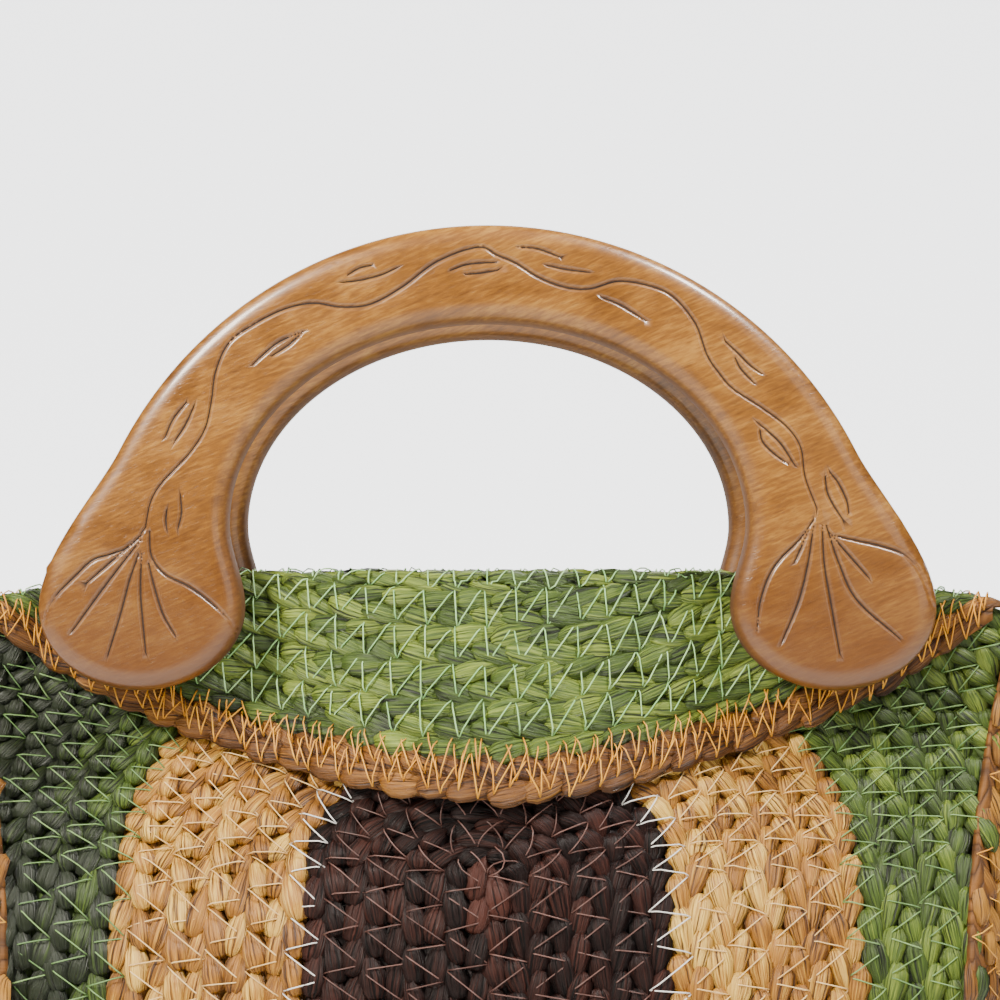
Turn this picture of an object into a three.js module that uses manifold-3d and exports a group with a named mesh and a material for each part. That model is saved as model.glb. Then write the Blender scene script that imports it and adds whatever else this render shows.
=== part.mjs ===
// Straw basket bag: two coiled braid panels on a side and base strip, with cuffs folded outward
// over the top and a pair of wooden arch handles.
// Millimetres, +Z up, the front faces -Y, the origin is on the floor under the middle of the bag.

import * as THREE from 'three';
import { mergeVertices } from 'three/addons/utils/BufferGeometryUtils.js';
import { ParametricGeometry } from 'three/addons/geometries/ParametricGeometry.js';
import Module from 'manifold-3d';

const wasm = await Module();
wasm.setup();

// Body of the bag
const bodyHeight = 215;
const bodyHalfWidth = 116.5;
const cornerRadius = 58;
const baseHalfDepth = 37;
const baseLift = 8;
const baseFlatShare = 0.7;
const bellyDepth = 33;
const bellyReach = 115;
const mouthHalfGap = 4;
const mouthSag = 3;
const sideDepth = 23;
const cornerDrop = 6;

// Plaited straw
const rowPitch = 8.25;
const wall = 3;
const rib = 1.2;
const spineLength = 50;
const spineTopBelowFold = 63;
const coreRows = 4.5;
const naturalRows = 5;
const greenRows = 7;
const gussetRibs = 6;
const gap = 0.3;

// Cuff folded over the top
const cuffDepth = 47;
const cuffHalfWidth = 109;
const cuffArcRadius = 181;
const cuffLift = 0.6;
const cuffFlare = 2;
const cuffGreenRows = 5;
const cuffColumns = 20;
const cuffRollSteps = 3;
const rustWidth = 7.6;

// Wooden handles
const handleHalfWidth = 94.9;
const handleThickness = 12;
const handleRound = 3;
const handleRise = 72.8;
const handleDrop = 25.6;
const archBand = 20.4;
const archOuterRadius = 87.5;
const archOuterEnd = 27;
const openingHalfWidth = 55.2;
const openingSpring = 10;
const paddleHalfWidth = 21.5;
const paddleHalfHeight = 17.6;

// Handle screws
const screwRadius = 2;
const screwHeadRadius = 4.5;
const screwHeadHeight = 1.6;
const screwBite = 8;
const screwBelowFold = 8;
const screwSides = 8;

// Widths of the panel's seam and depths at it, as shares: below is the share of the straight side's
// height, inset is the share of the base inset by which the seam lies inside the outline.
const sideInset = 16;
const seamTable = [
  { below: 0.00, inset: 0.05 },
  { below: 0.13, inset: 0.29 },
  { below: 0.25, inset: 0.55 },
  { below: 0.35, inset: 0.75 },
  { below: 0.45, inset: 0.90 },
  { below: 0.70, inset: 1.00 },
  { below: 1.00, inset: 1.00 },
];

// Values worked out from the sizes above
const fold = bodyHeight;
const rollRadius = wall + cuffLift / 2;
const panelFace = mouthHalfGap + wall;
const handleBack = panelFace + cuffLift + wall + gap;
const spineTop = fold - spineTopBelowFold;
const spineBottom = spineTop - spineLength;
const gussetTop = fold - cornerDrop - rollRadius - 2 * gap;
const paddleX = handleHalfWidth - paddleHalfWidth;

function smooth(value) {
  const t = Math.min(1, Math.max(0, value));
  return t * t * (3 - 2 * t);
}

function mix(a, b, t) {
  return a + (b - a) * t;
}

// Height of the fold line, level in the middle and lower at the two corners
function foldHeight(x) {
  const fromHandles = (Math.abs(x) - paddleX) / (bodyHalfWidth - paddleX);
  return fold - cornerDrop * smooth(fromHandles);
}

// How far the panel's outer face lies in front of the middle plane, at a place on the panel
function panelDepth(x, z) {
  const below = Math.max(0, fold - z);
  const clamped = handleDrop + 1;
  const centre = mouthSag + bellyDepth * Math.sin(Math.PI / 2 * Math.min(1, below / bellyReach));
  const side = sideDepth * smooth((below - clamped) / (bellyReach - 2 * clamped));
  const narrow = paddleX - paddleHalfWidth - 1;
  const reach = mix(narrow, bodyHalfWidth - sideInset / 2, smooth((below - clamped) / (bellyReach - clamped)));
  const share = Math.min(1, Math.abs(x) / reach);
  const weight = (1 - share * share) ** 2;
  const baseTuck = (panelFace + mouthSag + bellyDepth - baseHalfDepth) * (1 - smooth(z / bellyReach)) ** 2;
  const corner = mouthHalfGap * smooth((Math.abs(x) - handleHalfWidth) / (bodyHalfWidth - handleHalfWidth));
  return panelFace + mix(side, centre, weight) - baseTuck * weight + corner;
}

// Makes a solid of a closed three.js geometry, with its faces turned outward
function solidOf(geometry) {
  const bare = geometry.clone();
  bare.deleteAttribute('normal');
  bare.deleteAttribute('uv');
  const merged = mergeVertices(bare, 1e-3);
  const points = merged.getAttribute('position');
  const corner = (i) => new THREE.Vector3().fromBufferAttribute(points, i);
  const triangles = [];
  let volume = 0;
  for (let i = 0; i < merged.index.count; i += 3) {
    const [a, b, c] = [0, 1, 2].map((k) => merged.index.getX(i + k));
    if (a === b || b === c || c === a) continue;
    triangles.push([a, b, c]);
    volume += corner(a).dot(corner(b).cross(corner(c)));
  }
  const turned = volume < 0 ? triangles.map(([a, b, c]) => [a, c, b]) : triangles;
  const mesh = new wasm.Mesh({
    numProp: 3,
    vertProperties: new Float32Array(points.array),
    triVerts: new Uint32Array(turned.flat()),
  });
  return new wasm.Manifold(mesh);
}

function geometryOf(solid) {
  const mesh = solid.getMesh();
  const geometry = new THREE.BufferGeometry();
  geometry.setAttribute('position', new THREE.BufferAttribute(new Float32Array(mesh.vertProperties), 3));
  geometry.setIndex(Array.from(mesh.triVerts));
  geometry.computeVertexNormals();
  return geometry;
}

// A wall between an outer and an inner row of points, swept through a list of stations.
// Each station gives a loop of points; an open wall closes at its two ends on the wall's middle.
function sweptWall(loops, closed) {
  const count = loops.length;
  const size = loops[0].length;
  const surface = (u, v, target) => {
    const i = Math.round(u * (closed ? count : count - 1)) % count;
    const j = Math.round(v * size) % size;
    target.copy(loops[i][j]);
  };
  const slices = closed ? count : count - 1;
  return new ParametricGeometry(surface, slices, size);
}

// Adds to a run of loops a flattened copy of its first and last one, so that the ends are shut
function shutEnds(loops) {
  const flat = (loop) => loop.map((point, j) => point.clone().lerp(loop[loop.length - 1 - j], 0.5));
  return [flat(loops[0]), ...loops, flat(loops[loops.length - 1])];
}

// Wall height over the inner face at a number of rows: low between rows, high in their middles
function ribHeight(row) {
  const nearest = Math.abs(row - Math.round(row));
  return wall - rib * (1 - Math.min(1, 2 * nearest));
}

// Stations round the coil: where each one leaves the spine, and in which direction it points
function coilStations() {
  const topSteps = 16;
  const bottomSteps = 8;
  const sideSteps = 2;
  const stations = [];
  for (let i = 0; i < topSteps; i += 1) {
    stations.push({ z: spineTop, angle: Math.PI * i / topSteps });
  }
  for (let i = 0; i < sideSteps; i += 1) {
    stations.push({ z: mix(spineTop, spineBottom, i / sideSteps), angle: Math.PI });
  }
  for (let i = 0; i < bottomSteps; i += 1) {
    stations.push({ z: spineBottom, angle: Math.PI + Math.PI * i / bottomSteps });
  }
  for (let i = 0; i < sideSteps; i += 1) {
    stations.push({ z: mix(spineBottom, spineTop, i / sideSteps), angle: 2 * Math.PI });
  }
  return stations;
}

// A point on the coil's wall, at a distance from the spine and a height over the inner face
function coilPoint(station, distance, height) {
  const x = distance * Math.cos(station.angle);
  const z = station.z + distance * Math.sin(station.angle);
  return new THREE.Vector3(x, wall - panelDepth(x, z) - height, z);
}

// The coiled rows from one distance to another, ribbed outside and smooth inside
function coilBand(fromRow, toRow) {
  const start = fromRow > 0 ? fromRow * rowPitch + gap / 2 : 0;
  const end = toRow * rowPitch - gap / 2;
  const outer = [];
  for (let half = Math.round(2 * fromRow); half <= Math.round(2 * toRow); half += 1) {
    const distance = Math.min(end, Math.max(start, half * rowPitch / 2));
    outer.push({ distance, height: ribHeight(half / 2 - coreRows) });
  }
  const innerSteps = Math.ceil((toRow - fromRow) / 2.5);
  const inner = [];
  for (let i = 0; i <= innerSteps; i += 1) {
    inner.push({ distance: mix(end, start, i / innerSteps), height: 0 });
  }
  const section = [...outer, ...inner];
  const loops = coilStations().map((station) => (
    section.map((spot) => coilPoint(station, spot.distance, spot.height))
  ));
  return solidOf(sweptWall(loops, true));
}

// Stations down one side, round the corner and along half of the base: the outline's point, the
// direction outward, and how far inside the outline the seam lies
function outlineStations() {
  const straight = gussetTop - cornerRadius;
  const stations = seamTable.map((row) => ({
    x: bodyHalfWidth,
    z: gussetTop - row.below * straight,
    outX: 1,
    outZ: 0,
    inset: row.inset * sideInset,
    flat: 0,
  }));
  const cornerSteps = 5;
  for (let i = 1; i <= cornerSteps; i += 1) {
    const angle = Math.PI / 2 * i / cornerSteps;
    stations.push({
      x: bodyHalfWidth - cornerRadius * (1 - Math.cos(angle)),
      z: cornerRadius * (1 - Math.sin(angle)),
      outX: Math.cos(angle),
      outZ: -Math.sin(angle),
      inset: mix(sideInset, baseLift, i / cornerSteps),
      flat: i / cornerSteps,
    });
  }
  const baseSteps = 2;
  for (let i = 1; i <= baseSteps; i += 1) {
    const x = (bodyHalfWidth - cornerRadius) * (1 - i / baseSteps);
    stations.push({ x, z: 0, outX: 0, outZ: -1, inset: baseLift, flat: 1 });
  }
  return stations;
}

// Places across the bag at which the cuff's sections stand, from left to right
function cuffStations() {
  const stations = [];
  for (let i = 0; i <= cuffColumns; i += 1) stations.push(cuffHalfWidth * (2 * i / cuffColumns - 1));
  return stations;
}

// The seam's outline in front view, grown by a distance, as a prism right through the bag
function seamPrism(grow, top) {
  const right = outlineStations().map((s) => ({
    x: s.x - s.outX * (s.inset - grow),
    z: s.z - s.outZ * (s.inset - grow),
  }));
  const edge = right[0].x;
  const topLine = [edge, ...cuffStations().reverse(), -edge];
  const shape = new THREE.Shape();
  shape.moveTo(right[right.length - 1].x, right[right.length - 1].z);
  for (const spot of right.slice(0, -1).reverse()) shape.lineTo(spot.x, spot.z);
  for (const x of topLine) shape.lineTo(x, foldHeight(x) + top);
  for (const spot of right.slice(0, -1)) shape.lineTo(-spot.x, spot.z);
  const depth = 2 * bodyHalfWidth;
  const prism = new THREE.ExtrudeGeometry(shape, { depth, bevelEnabled: false });
  prism.translate(0, 0, -depth / 2);
  prism.rotateX(Math.PI / 2);
  return solidOf(prism);
}

// A cylinder along the depth of the bag, from one depth to another
function depthCylinder(x, z, radius, nearY, farY) {
  const length = Math.abs(farY - nearY);
  const rod = new THREE.CylinderGeometry(radius, radius, length, screwSides);
  rod.translate(x, (nearY + farY) / 2, z);
  return solidOf(rod);
}

function screwHole(x) {
  return depthCylinder(x, fold - screwBelowFold, screwRadius + gap, 0, -handleBack - screwBite - gap);
}

function screwHoles() {
  return screwHole(-paddleX).add(screwHole(paddleX));
}

// The strip down both sides and under the base, ribbed outside
function gusset() {
  const right = outlineStations();
  const left = right.slice(0, -1).reverse().map((s) => ({ ...s, x: -s.x, outX: -s.outX }));
  const overrun = 1.08;
  const loops = [...right, ...left].map((s) => {
    const seamX = s.x - s.outX * s.inset;
    const seamZ = s.z - s.outZ * s.inset;
    const half = panelDepth(seamX, seamZ);
    const spot = (across, height) => {
      const side = across * across;
      const edge = Math.max(0, (Math.abs(across) - baseFlatShare) / (1 - baseFlatShare));
      const inward = s.inset * mix(side, edge * edge, s.flat);
      const tuck = Math.sign(across) * 2 * edge / (1 - baseFlatShare);
      const slope = s.inset * mix(2 * across, tuck, s.flat) / half;
      const length = Math.hypot(1, slope);
      const offset = height - wall;
      const out = -inward + offset / length;
      const y = across * half + offset * slope / length;
      return new THREE.Vector3(s.x + s.outX * out, y, s.z + s.outZ * out);
    };
    const outer = [];
    const inner = [];
    for (let i = 0; i <= 2 * gussetRibs; i += 1) {
      const across = overrun * (i / gussetRibs - 1);
      const low = i % 2 === 0;
      const keel = s.flat * (Math.abs(across) < baseFlatShare ? 1 : 0);
      outer.push(spot(across, wall - (low ? rib * (1 - keel) : 0)));
      inner.unshift(spot(across, 0));
    }
    return [...outer, ...inner];
  });
  const strip = solidOf(sweptWall(shutEnds(loops), false));
  return strip.subtract(seamPrism(gap, 4 * rollRadius));
}

// The lower edge of the cuff, an arc, as a distance below the top of the fold
function cuffEdge(x) {
  return cuffDepth - cuffArcRadius + Math.sqrt(cuffArcRadius ** 2 - x * x);
}

// How far the cuff's inner face stands off the panel's outer face
function cuffStandOff(x, below) {
  const narrow = paddleX - paddleHalfWidth - 1;
  const share = Math.min(1, Math.abs(x) / narrow);
  return cuffLift + cuffFlare * (1 - share * share) * below / cuffDepth;
}

function cuffPoint(x, below, height) {
  const z = fold - below;
  return new THREE.Vector3(x, -panelDepth(x, z) - cuffStandOff(x, below) - height, z);
}

function rustStart(x) {
  const edge = cuffEdge(x);
  const rollEnd = fold - foldHeight(x) + rollRadius;
  return edge - Math.min(rustWidth, 0.5 * (edge - rollEnd));
}

// The green part of the cuff: a roll over the top of the panel and a ribbed leg down its front
function cuffGreen() {
  const loops = [];
  for (const x of cuffStations()) {
    const rollEnd = fold - foldHeight(x) + rollRadius;
    const legEnd = rustStart(x) - gap;
    const outer = [];
    const inner = [];
    const centreY = -panelDepth(x, fold - rollEnd) - cuffLift / 2;
    for (let k = 0; k < cuffRollSteps; k += 1) {
      const angle = Math.PI * k / cuffRollSteps;
      const at = (radius) => new THREE.Vector3(
        x,
        centreY + radius * Math.cos(angle),
        fold - rollEnd + radius * Math.sin(angle),
      );
      outer.push(at(rollRadius));
      inner.unshift(at(cuffLift / 2));
    }
    for (let k = 0; k <= 2 * cuffGreenRows; k += 1) {
      const below = mix(rollEnd, legEnd, k / (2 * cuffGreenRows));
      const height = k === 0 ? wall : wall - (k % 2 === 0 ? rib : 0);
      outer.push(cuffPoint(x, below, height));
      inner.unshift(cuffPoint(x, below, 0));
    }
    loops.push([...outer, ...inner]);
  }
  return solidOf(sweptWall(shutEnds(loops), false)).subtract(screwHoles());
}

// The rust row along the cuff's lower edge
function cuffRust() {
  const loops = [];
  for (const x of cuffStations()) {
    const start = rustStart(x);
    const end = cuffEdge(x);
    const middle = mix(start, end, 0.5);
    const outer = [
      cuffPoint(x, start, wall - rib),
      cuffPoint(x, middle, wall),
      cuffPoint(x, end, wall - rib),
    ];
    const inner = [cuffPoint(x, end, 0), cuffPoint(x, middle, 0), cuffPoint(x, start, 0)];
    loops.push([...outer, ...inner]);
  }
  return solidOf(sweptWall(shutEnds(loops), false));
}

// Half of the handle's outline, from the top of the arch round the paddle to the opening's top
function handleShape() {
  const top = fold + handleRise;
  const archCentre = top - archOuterRadius;
  const end = THREE.MathUtils.degToRad(archOuterEnd);
  const paddleCentre = fold - handleDrop + paddleHalfHeight;
  const flareX = archOuterRadius * Math.cos(end);
  const flareZ = archCentre + archOuterRadius * Math.sin(end);
  const flare = 9;
  const shoulder = 11;
  const innerX = handleHalfWidth - 2 * paddleHalfWidth;
  const spring = fold + openingSpring;
  const openingRise = handleRise - archBand - openingSpring;
  const neck = 6;
  const half = new THREE.Path();
  half.absarc(0, archCentre, archOuterRadius, Math.PI / 2, end, true);
  half.bezierCurveTo(
    flareX + flare * Math.sin(end),
    flareZ - flare * Math.cos(end),
    handleHalfWidth,
    paddleCentre + shoulder,
    handleHalfWidth,
    paddleCentre,
  );
  half.absellipse(paddleX, paddleCentre, paddleHalfWidth, paddleHalfHeight, 0, -Math.PI, true);
  half.bezierCurveTo(
    innerX,
    paddleCentre + neck,
    openingHalfWidth,
    spring - neck,
    openingHalfWidth,
    spring,
  );
  half.absellipse(0, spring, openingHalfWidth, openingRise, 0, Math.PI / 2, false);
  const right = half.getPoints(5);
  const left = right.slice(1, -1).reverse().map((point) => new THREE.Vector2(-point.x, point.y));
  return new THREE.Shape([...right, ...left]);
}

function handle() {
  const body = new THREE.ExtrudeGeometry(handleShape(), {
    depth: handleThickness - 2 * handleRound,
    bevelThickness: handleRound,
    bevelSize: handleRound,
    bevelOffset: -handleRound,
    bevelSegments: 2,
  });
  body.translate(0, 0, handleBack + handleRound);
  body.rotateX(Math.PI / 2);
  return solidOf(body).subtract(screwHoles());
}

function screw(x) {
  const z = fold - screwBelowFold;
  const seat = -mouthHalfGap + gap;
  const shank = depthCylinder(x, z, screwRadius, seat + screwHeadHeight / 2, -handleBack - screwBite);
  const head = depthCylinder(x, z, screwHeadRadius, seat, seat + screwHeadHeight);
  return shank.add(head);
}

const looks = {
  brown: { color: 0x4b2a22, roughness: 0.8, metalness: 0 },
  natural: { color: 0xcfa96b, roughness: 0.75, metalness: 0 },
  green: { color: 0x6f8f42, roughness: 0.75, metalness: 0 },
  rust: { color: 0xb5702d, roughness: 0.75, metalness: 0 },
  wood: { color: 0xb0803f, roughness: 0.35, metalness: 0 },
  steel: { color: 0x9a9890, roughness: 0.4, metalness: 1 },
};

function piece(name, geometry, look) {
  const mesh = new THREE.Mesh(geometry, new THREE.MeshStandardMaterial(look));
  mesh.name = name;
  return mesh;
}

// The solids of one side, made once and used for the front and, turned round, for the back
function sideParts() {
  const prism = seamPrism(0, -rollRadius - gap);
  const naturalEnd = coreRows + naturalRows;
  return [
    ['panel_core', geometryOf(coilBand(0, coreRows).intersect(prism)), looks.brown],
    ['panel_natural_rows', geometryOf(coilBand(coreRows, naturalEnd).intersect(prism)), looks.natural],
    [
      'panel_green_rows',
      geometryOf(coilBand(naturalEnd, naturalEnd + greenRows).intersect(prism).subtract(screwHoles())),
      looks.green,
    ],
    ['cuff_green_rows', geometryOf(cuffGreen()), looks.green],
    ['cuff_rust_edge', geometryOf(cuffRust()), looks.rust],
    ['handle', geometryOf(handle()), looks.wood],
    ['handle_screw_left', geometryOf(screw(-paddleX)), looks.steel],
    ['handle_screw_right', geometryOf(screw(paddleX)), looks.steel],
  ];
}

function side(prefix, parts) {
  const group = new THREE.Group();
  for (const [name, geometry, look] of parts) group.add(piece(`${prefix}_${name}`, geometry, look));
  return group;
}

const bag = new THREE.Group();
const parts = sideParts();
const front = side('front', parts);
const back = side('back', parts);
back.rotation.z = Math.PI;
bag.add(front, back, piece('gusset', geometryOf(gusset()), looks.rust));

export default bag;
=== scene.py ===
"""Straw basket bag: plaited rows sewn with zigzag thread, folded cuffs and carved wooden handles.

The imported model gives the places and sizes. Lengths are millimetres until a mesh is made.
"""

import logging
import math
from dataclasses import dataclass, field
from enum import Enum

import bmesh
import bpy
import numpy as np
from mathutils import Matrix, Vector
from mathutils.geometry import delaunay_2d_cdt


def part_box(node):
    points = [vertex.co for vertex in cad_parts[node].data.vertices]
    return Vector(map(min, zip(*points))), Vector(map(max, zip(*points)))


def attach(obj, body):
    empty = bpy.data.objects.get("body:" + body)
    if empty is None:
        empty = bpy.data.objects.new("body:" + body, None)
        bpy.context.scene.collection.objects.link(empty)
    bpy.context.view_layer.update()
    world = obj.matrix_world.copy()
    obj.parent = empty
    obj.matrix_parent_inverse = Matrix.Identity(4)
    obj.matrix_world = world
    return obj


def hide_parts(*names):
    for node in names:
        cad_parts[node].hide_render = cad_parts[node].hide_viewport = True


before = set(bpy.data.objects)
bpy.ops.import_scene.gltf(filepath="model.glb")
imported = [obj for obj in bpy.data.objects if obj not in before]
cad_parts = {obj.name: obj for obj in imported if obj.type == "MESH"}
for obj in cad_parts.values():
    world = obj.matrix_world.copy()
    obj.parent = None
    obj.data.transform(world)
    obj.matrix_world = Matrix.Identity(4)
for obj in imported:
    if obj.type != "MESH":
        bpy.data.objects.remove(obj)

MM = 0.001
LOG = logging.getLogger("basket_bag")
Array = np.ndarray


def smooth(value: Array) -> Array:
    """Rises from 0 to 1 with level ends."""
    t = np.clip(value, 0.0, 1.0)
    return t * t * (3.0 - 2.0 * t)


def mix(a: Array, b: Array, t: Array) -> Array:
    """Goes from a to b as t goes from 0 to 1."""
    return a + (b - a) * t


def between(values: Array, low: Array, part: Array) -> Array:
    """Reads a table between a row and the next one."""
    return mix(values[low], values[low + 1], part)


class Side(Enum):
    """The two faces of the bag; the back is the front turned half round."""

    FRONT = "front"
    BACK = "back"

    def place(self, points: Array) -> Array:
        """Turns points of the front to this side."""
        turn = 1.0 if self is Side.FRONT else -1.0
        return points * np.array([turn, turn, 1.0])


class Straw(Enum):
    """Dyed colours of the plaited husk."""

    BROWN = "brown_straw"
    NATURAL = "natural_straw"
    GREEN = "green_straw"
    RUST = "rust_straw"


@dataclass(frozen=True)
class BagShape:
    """Sizes of the straw body and the surfaces that they give, for the front of the bag."""

    fold: float
    half_width: float
    handle_half_width: float
    handle_drop: float
    corner_radius: float = 58.0
    base_half_depth: float = 37.0
    base_lift: float = 8.0
    base_flat_share: float = 0.7
    belly_depth: float = 33.0
    belly_reach: float = 115.0
    mouth_half_gap: float = 4.0
    mouth_sag: float = 3.0
    side_depth: float = 23.0
    side_inset: float = 16.0
    corner_drop: float = 6.0
    paddle_half_width: float = 21.5
    wall: float = 3.0
    pitch: float = 8.25
    spine_length: float = 50.0
    spine_top_below_fold: float = 63.0
    upper_turn: float = 0.69
    cuff_depth: float = 47.0
    cuff_half_width: float = 109.0
    cuff_arc_radius: float = 181.0
    cuff_lift: float = 0.6
    cuff_flare: float = 2.0
    cuff_pitch: float = 7.6
    gap: float = 0.3

    @property
    def paddle_x(self) -> float:
        """Distance of a paddle's middle from the bag's middle."""
        return self.handle_half_width - self.paddle_half_width

    @property
    def panel_face(self) -> float:
        """Depth of the panel's outer face where the paddles clamp it."""
        return self.mouth_half_gap + self.wall

    @property
    def roll_radius(self) -> float:
        """Outer radius of the cuff's fold."""
        return self.wall + self.cuff_lift / 2

    @property
    def spine_top(self) -> float:
        """Height of the coil's first turn."""
        return self.fold - self.spine_top_below_fold

    @property
    def gusset_top(self) -> float:
        """Height of the side strip's upper end."""
        return self.fold - self.corner_drop - self.roll_radius - 2 * self.gap

    def fold_height(self, x: Array) -> Array:
        """Height of the fold line, level in the middle and lower at the corners."""
        span = self.half_width - self.paddle_x
        return self.fold - self.corner_drop * smooth((np.abs(x) - self.paddle_x) / span)

    def panel_depth(self, x: Array, z: Array) -> Array:
        """How far the panel's outer face lies in front of the bag's middle plane.

        Args:
            x: places across the bag.
            z: heights.

        Returns:
            The depths, positive towards the front.
        """
        below = np.maximum(0.0, self.fold - z)
        clamped = self.handle_drop + 1
        rise = np.sin(np.pi / 2 * np.minimum(1.0, below / self.belly_reach))
        centre = self.mouth_sag + self.belly_depth * rise
        side = self.side_depth * smooth((below - clamped) / (self.belly_reach - 2 * clamped))
        narrow = self.paddle_x - self.paddle_half_width - 1
        wide = self.half_width - self.side_inset / 2
        reach = mix(narrow, wide, smooth((below - clamped) / (self.belly_reach - clamped)))
        weight = (1 - np.minimum(1.0, np.abs(x) / reach) ** 2) ** 2
        full = self.panel_face + self.mouth_sag + self.belly_depth
        tuck = (full - self.base_half_depth) * (1 - smooth(z / self.belly_reach)) ** 2
        span = self.half_width - self.handle_half_width
        corner = self.mouth_half_gap * smooth((np.abs(x) - self.handle_half_width) / span)
        return self.panel_face + mix(side, centre, weight) - tuck * weight + corner

    def coil_way(self, angle: Array) -> Array:
        """Steps in x and z away from the spine; the rows of the upper turn lie closer together."""
        up = np.sin(angle)
        return np.stack([np.cos(angle), np.where(up > 0, self.upper_turn * up, up)], axis=-1)

    def coil_place(self, foot: Array, angle: Array, across: Array) -> Array:
        """Points on the panel's inner face, from places on the coil.

        Args:
            foot: heights on the spine.
            angle: directions away from it.
            across: distances from it.

        Returns:
            The points.
        """
        way = self.coil_way(angle)
        x = across * way[..., 0]
        z = foot + across * way[..., 1]
        return np.stack([x, self.wall - self.panel_depth(x, z), z], axis=-1)

    def cuff_edge(self, x: Array) -> Array:
        """Distance of the cuff's lower edge below the fold."""
        radius = self.cuff_arc_radius
        return self.cuff_depth - radius + np.sqrt(np.maximum(0.0, radius**2 - x * x))

    def roll_end(self, x: Array) -> Array:
        """Distance below the fold at which the cuff's roll turns into its flat leg."""
        return self.fold - self.fold_height(x) + self.roll_radius

    def cuff_stand_off(self, x: Array, below: Array) -> Array:
        """How far the cuff's inner face stands off the panel.

        Args:
            x: places across the bag.
            below: distances below the fold.

        Returns:
            The distances from the panel's outer face.
        """
        narrow = self.paddle_x - self.paddle_half_width - 1
        share = np.minimum(1.0, np.abs(x) / narrow)
        return self.cuff_lift + self.cuff_flare * (1 - share**2) * below / self.cuff_depth


@dataclass
class SeamLine:
    """The bag's outline in front view and the seam a little inside it.

    The table gives shares of the full inset at shares of the straight side, from its top down.
    """

    shape: BagShape
    table: tuple = (
        (0.00, 0.05), (0.13, 0.29), (0.25, 0.55), (0.35, 0.75), (0.45, 0.90), (0.70, 1.00), (1.00, 1.00),
    )
    ease: int = 25
    top_points: int = 80

    def __post_init__(self) -> None:
        """Works out closely spaced stations down the right side and half of the base."""
        s = self.shape
        straight = s.gusset_top - s.corner_radius
        arc = math.pi / 2 * s.corner_radius
        base = s.half_width - s.corner_radius
        self.half_length = straight + arc + base
        run = np.linspace(0.0, self.half_length, int(self.half_length) + 1)
        turn = np.clip((run - straight) / arc, 0.0, 1.0)
        angle = turn * math.pi / 2
        self.run = run
        self.x = s.half_width - s.corner_radius * (1 - np.cos(angle)) - np.maximum(0, run - straight - arc)
        self.z = s.gusset_top - np.minimum(run, straight) - s.corner_radius * np.sin(angle)
        self.out_x, self.out_z, self.flat = np.cos(angle), -np.sin(angle), turn
        below, inset = np.array(self.table).T
        side = np.interp(run / straight, below, inset) * s.side_inset
        window = np.hanning(self.ease)
        eased = np.convolve(np.pad(side, self.ease // 2, mode="edge"), window / window.sum(), mode="valid")
        self.inset = mix(eased, s.base_lift, turn)

    def polygon(self, top_drop: float) -> Array:
        """The seam as a closed outline in x and z.

        Args:
            top_drop: how far the upper edge lies below the fold line.

        Returns:
            Points in order, anticlockwise from the bottom's middle.
        """
        x = self.x - self.out_x * self.inset
        z = self.z - self.out_z * self.inset
        right = np.column_stack([x, z])[::-1]
        top_x = np.linspace(x[0], -x[0], self.top_points)
        top = np.column_stack([top_x, self.shape.fold_height(top_x) - top_drop])
        left = right[1:][::-1] * np.array([-1.0, 1.0])
        return np.vstack([right, top[1:-1], left])


class Surface:
    """A curved face of the bag that takes places along and across plaited rows.

    Outward tells on which hand of the two directions the face looks out. Step is the length over
    which the directions are measured.
    """

    outward = 1.0
    step = 0.05

    def base(self, along: Array, across: Array) -> Array:
        """Points on the wall's inner face."""
        raise NotImplementedError

    def lift(self, along: Array, across: Array, height: Array) -> Array:
        """Points at a height over the wall's inner face.

        Args:
            along: places along the rows.
            across: places across them.
            height: distances out from the inner face.

        Returns:
            Points, one row each.
        """
        e = self.step
        run = self.base(along + e, across) - self.base(along - e, across)
        cut = self.base(along, across + e) - self.base(along, across - e)
        normal = np.cross(run, cut) * self.outward
        normal /= np.maximum(1e-9, np.linalg.norm(normal, axis=-1, keepdims=True))
        return self.base(along, across) + normal * np.asarray(height)[..., None]


@dataclass
class RingFace(Surface):
    """One turn of the coil round the spine; across is the distance from the spine."""

    shape: BagShape
    distance: float
    outward = -1.0

    @property
    def length(self) -> float:
        """Length of the turn along its middle."""
        return 2 * math.pi * self.distance + 2 * self.shape.spine_length

    def station(self, along: Array) -> tuple[Array, Array]:
        """Finds where on the spine, and in which direction from it, places along the turn lie.

        Args:
            along: places along the turn.

        Returns:
            Heights on the spine and directions.
        """
        arc, spine = math.pi * self.distance, self.shape.spine_length
        along = np.mod(along, self.length)
        first = np.clip(along / arc, 0, 1) * math.pi
        second = np.clip((along - arc - spine) / arc, 0, 1) * math.pi
        down = np.clip(along - arc, 0, spine)
        up = np.clip(along - 2 * arc - spine, 0, spine)
        return self.shape.spine_top - down + up, first + second

    def base(self, along: Array, across: Array) -> Array:
        """Points on the panel's inner face."""
        return self.shape.coil_place(*self.station(along), across)


@dataclass
class TurnFace(Surface):
    """The coil's face; along counts lengths on one ring in units of its distance from the spine."""

    shape: BagShape
    ring: RingFace
    outward = -1.0
    step = 0.002

    def base(self, along: Array, across: Array) -> Array:
        """Points on the panel's inner face."""
        return self.shape.coil_place(*self.ring.station(along * self.ring.distance), across)


@dataclass
class SpineFace(Surface):
    """The short straight row down the middle of the coil."""

    shape: BagShape

    def base(self, along: Array, across: Array) -> Array:
        """Points on the panel's inner face, going down the spine."""
        z = self.shape.spine_top - along
        return np.stack([across, self.shape.wall - self.shape.panel_depth(across, z), z], axis=-1)


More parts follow.
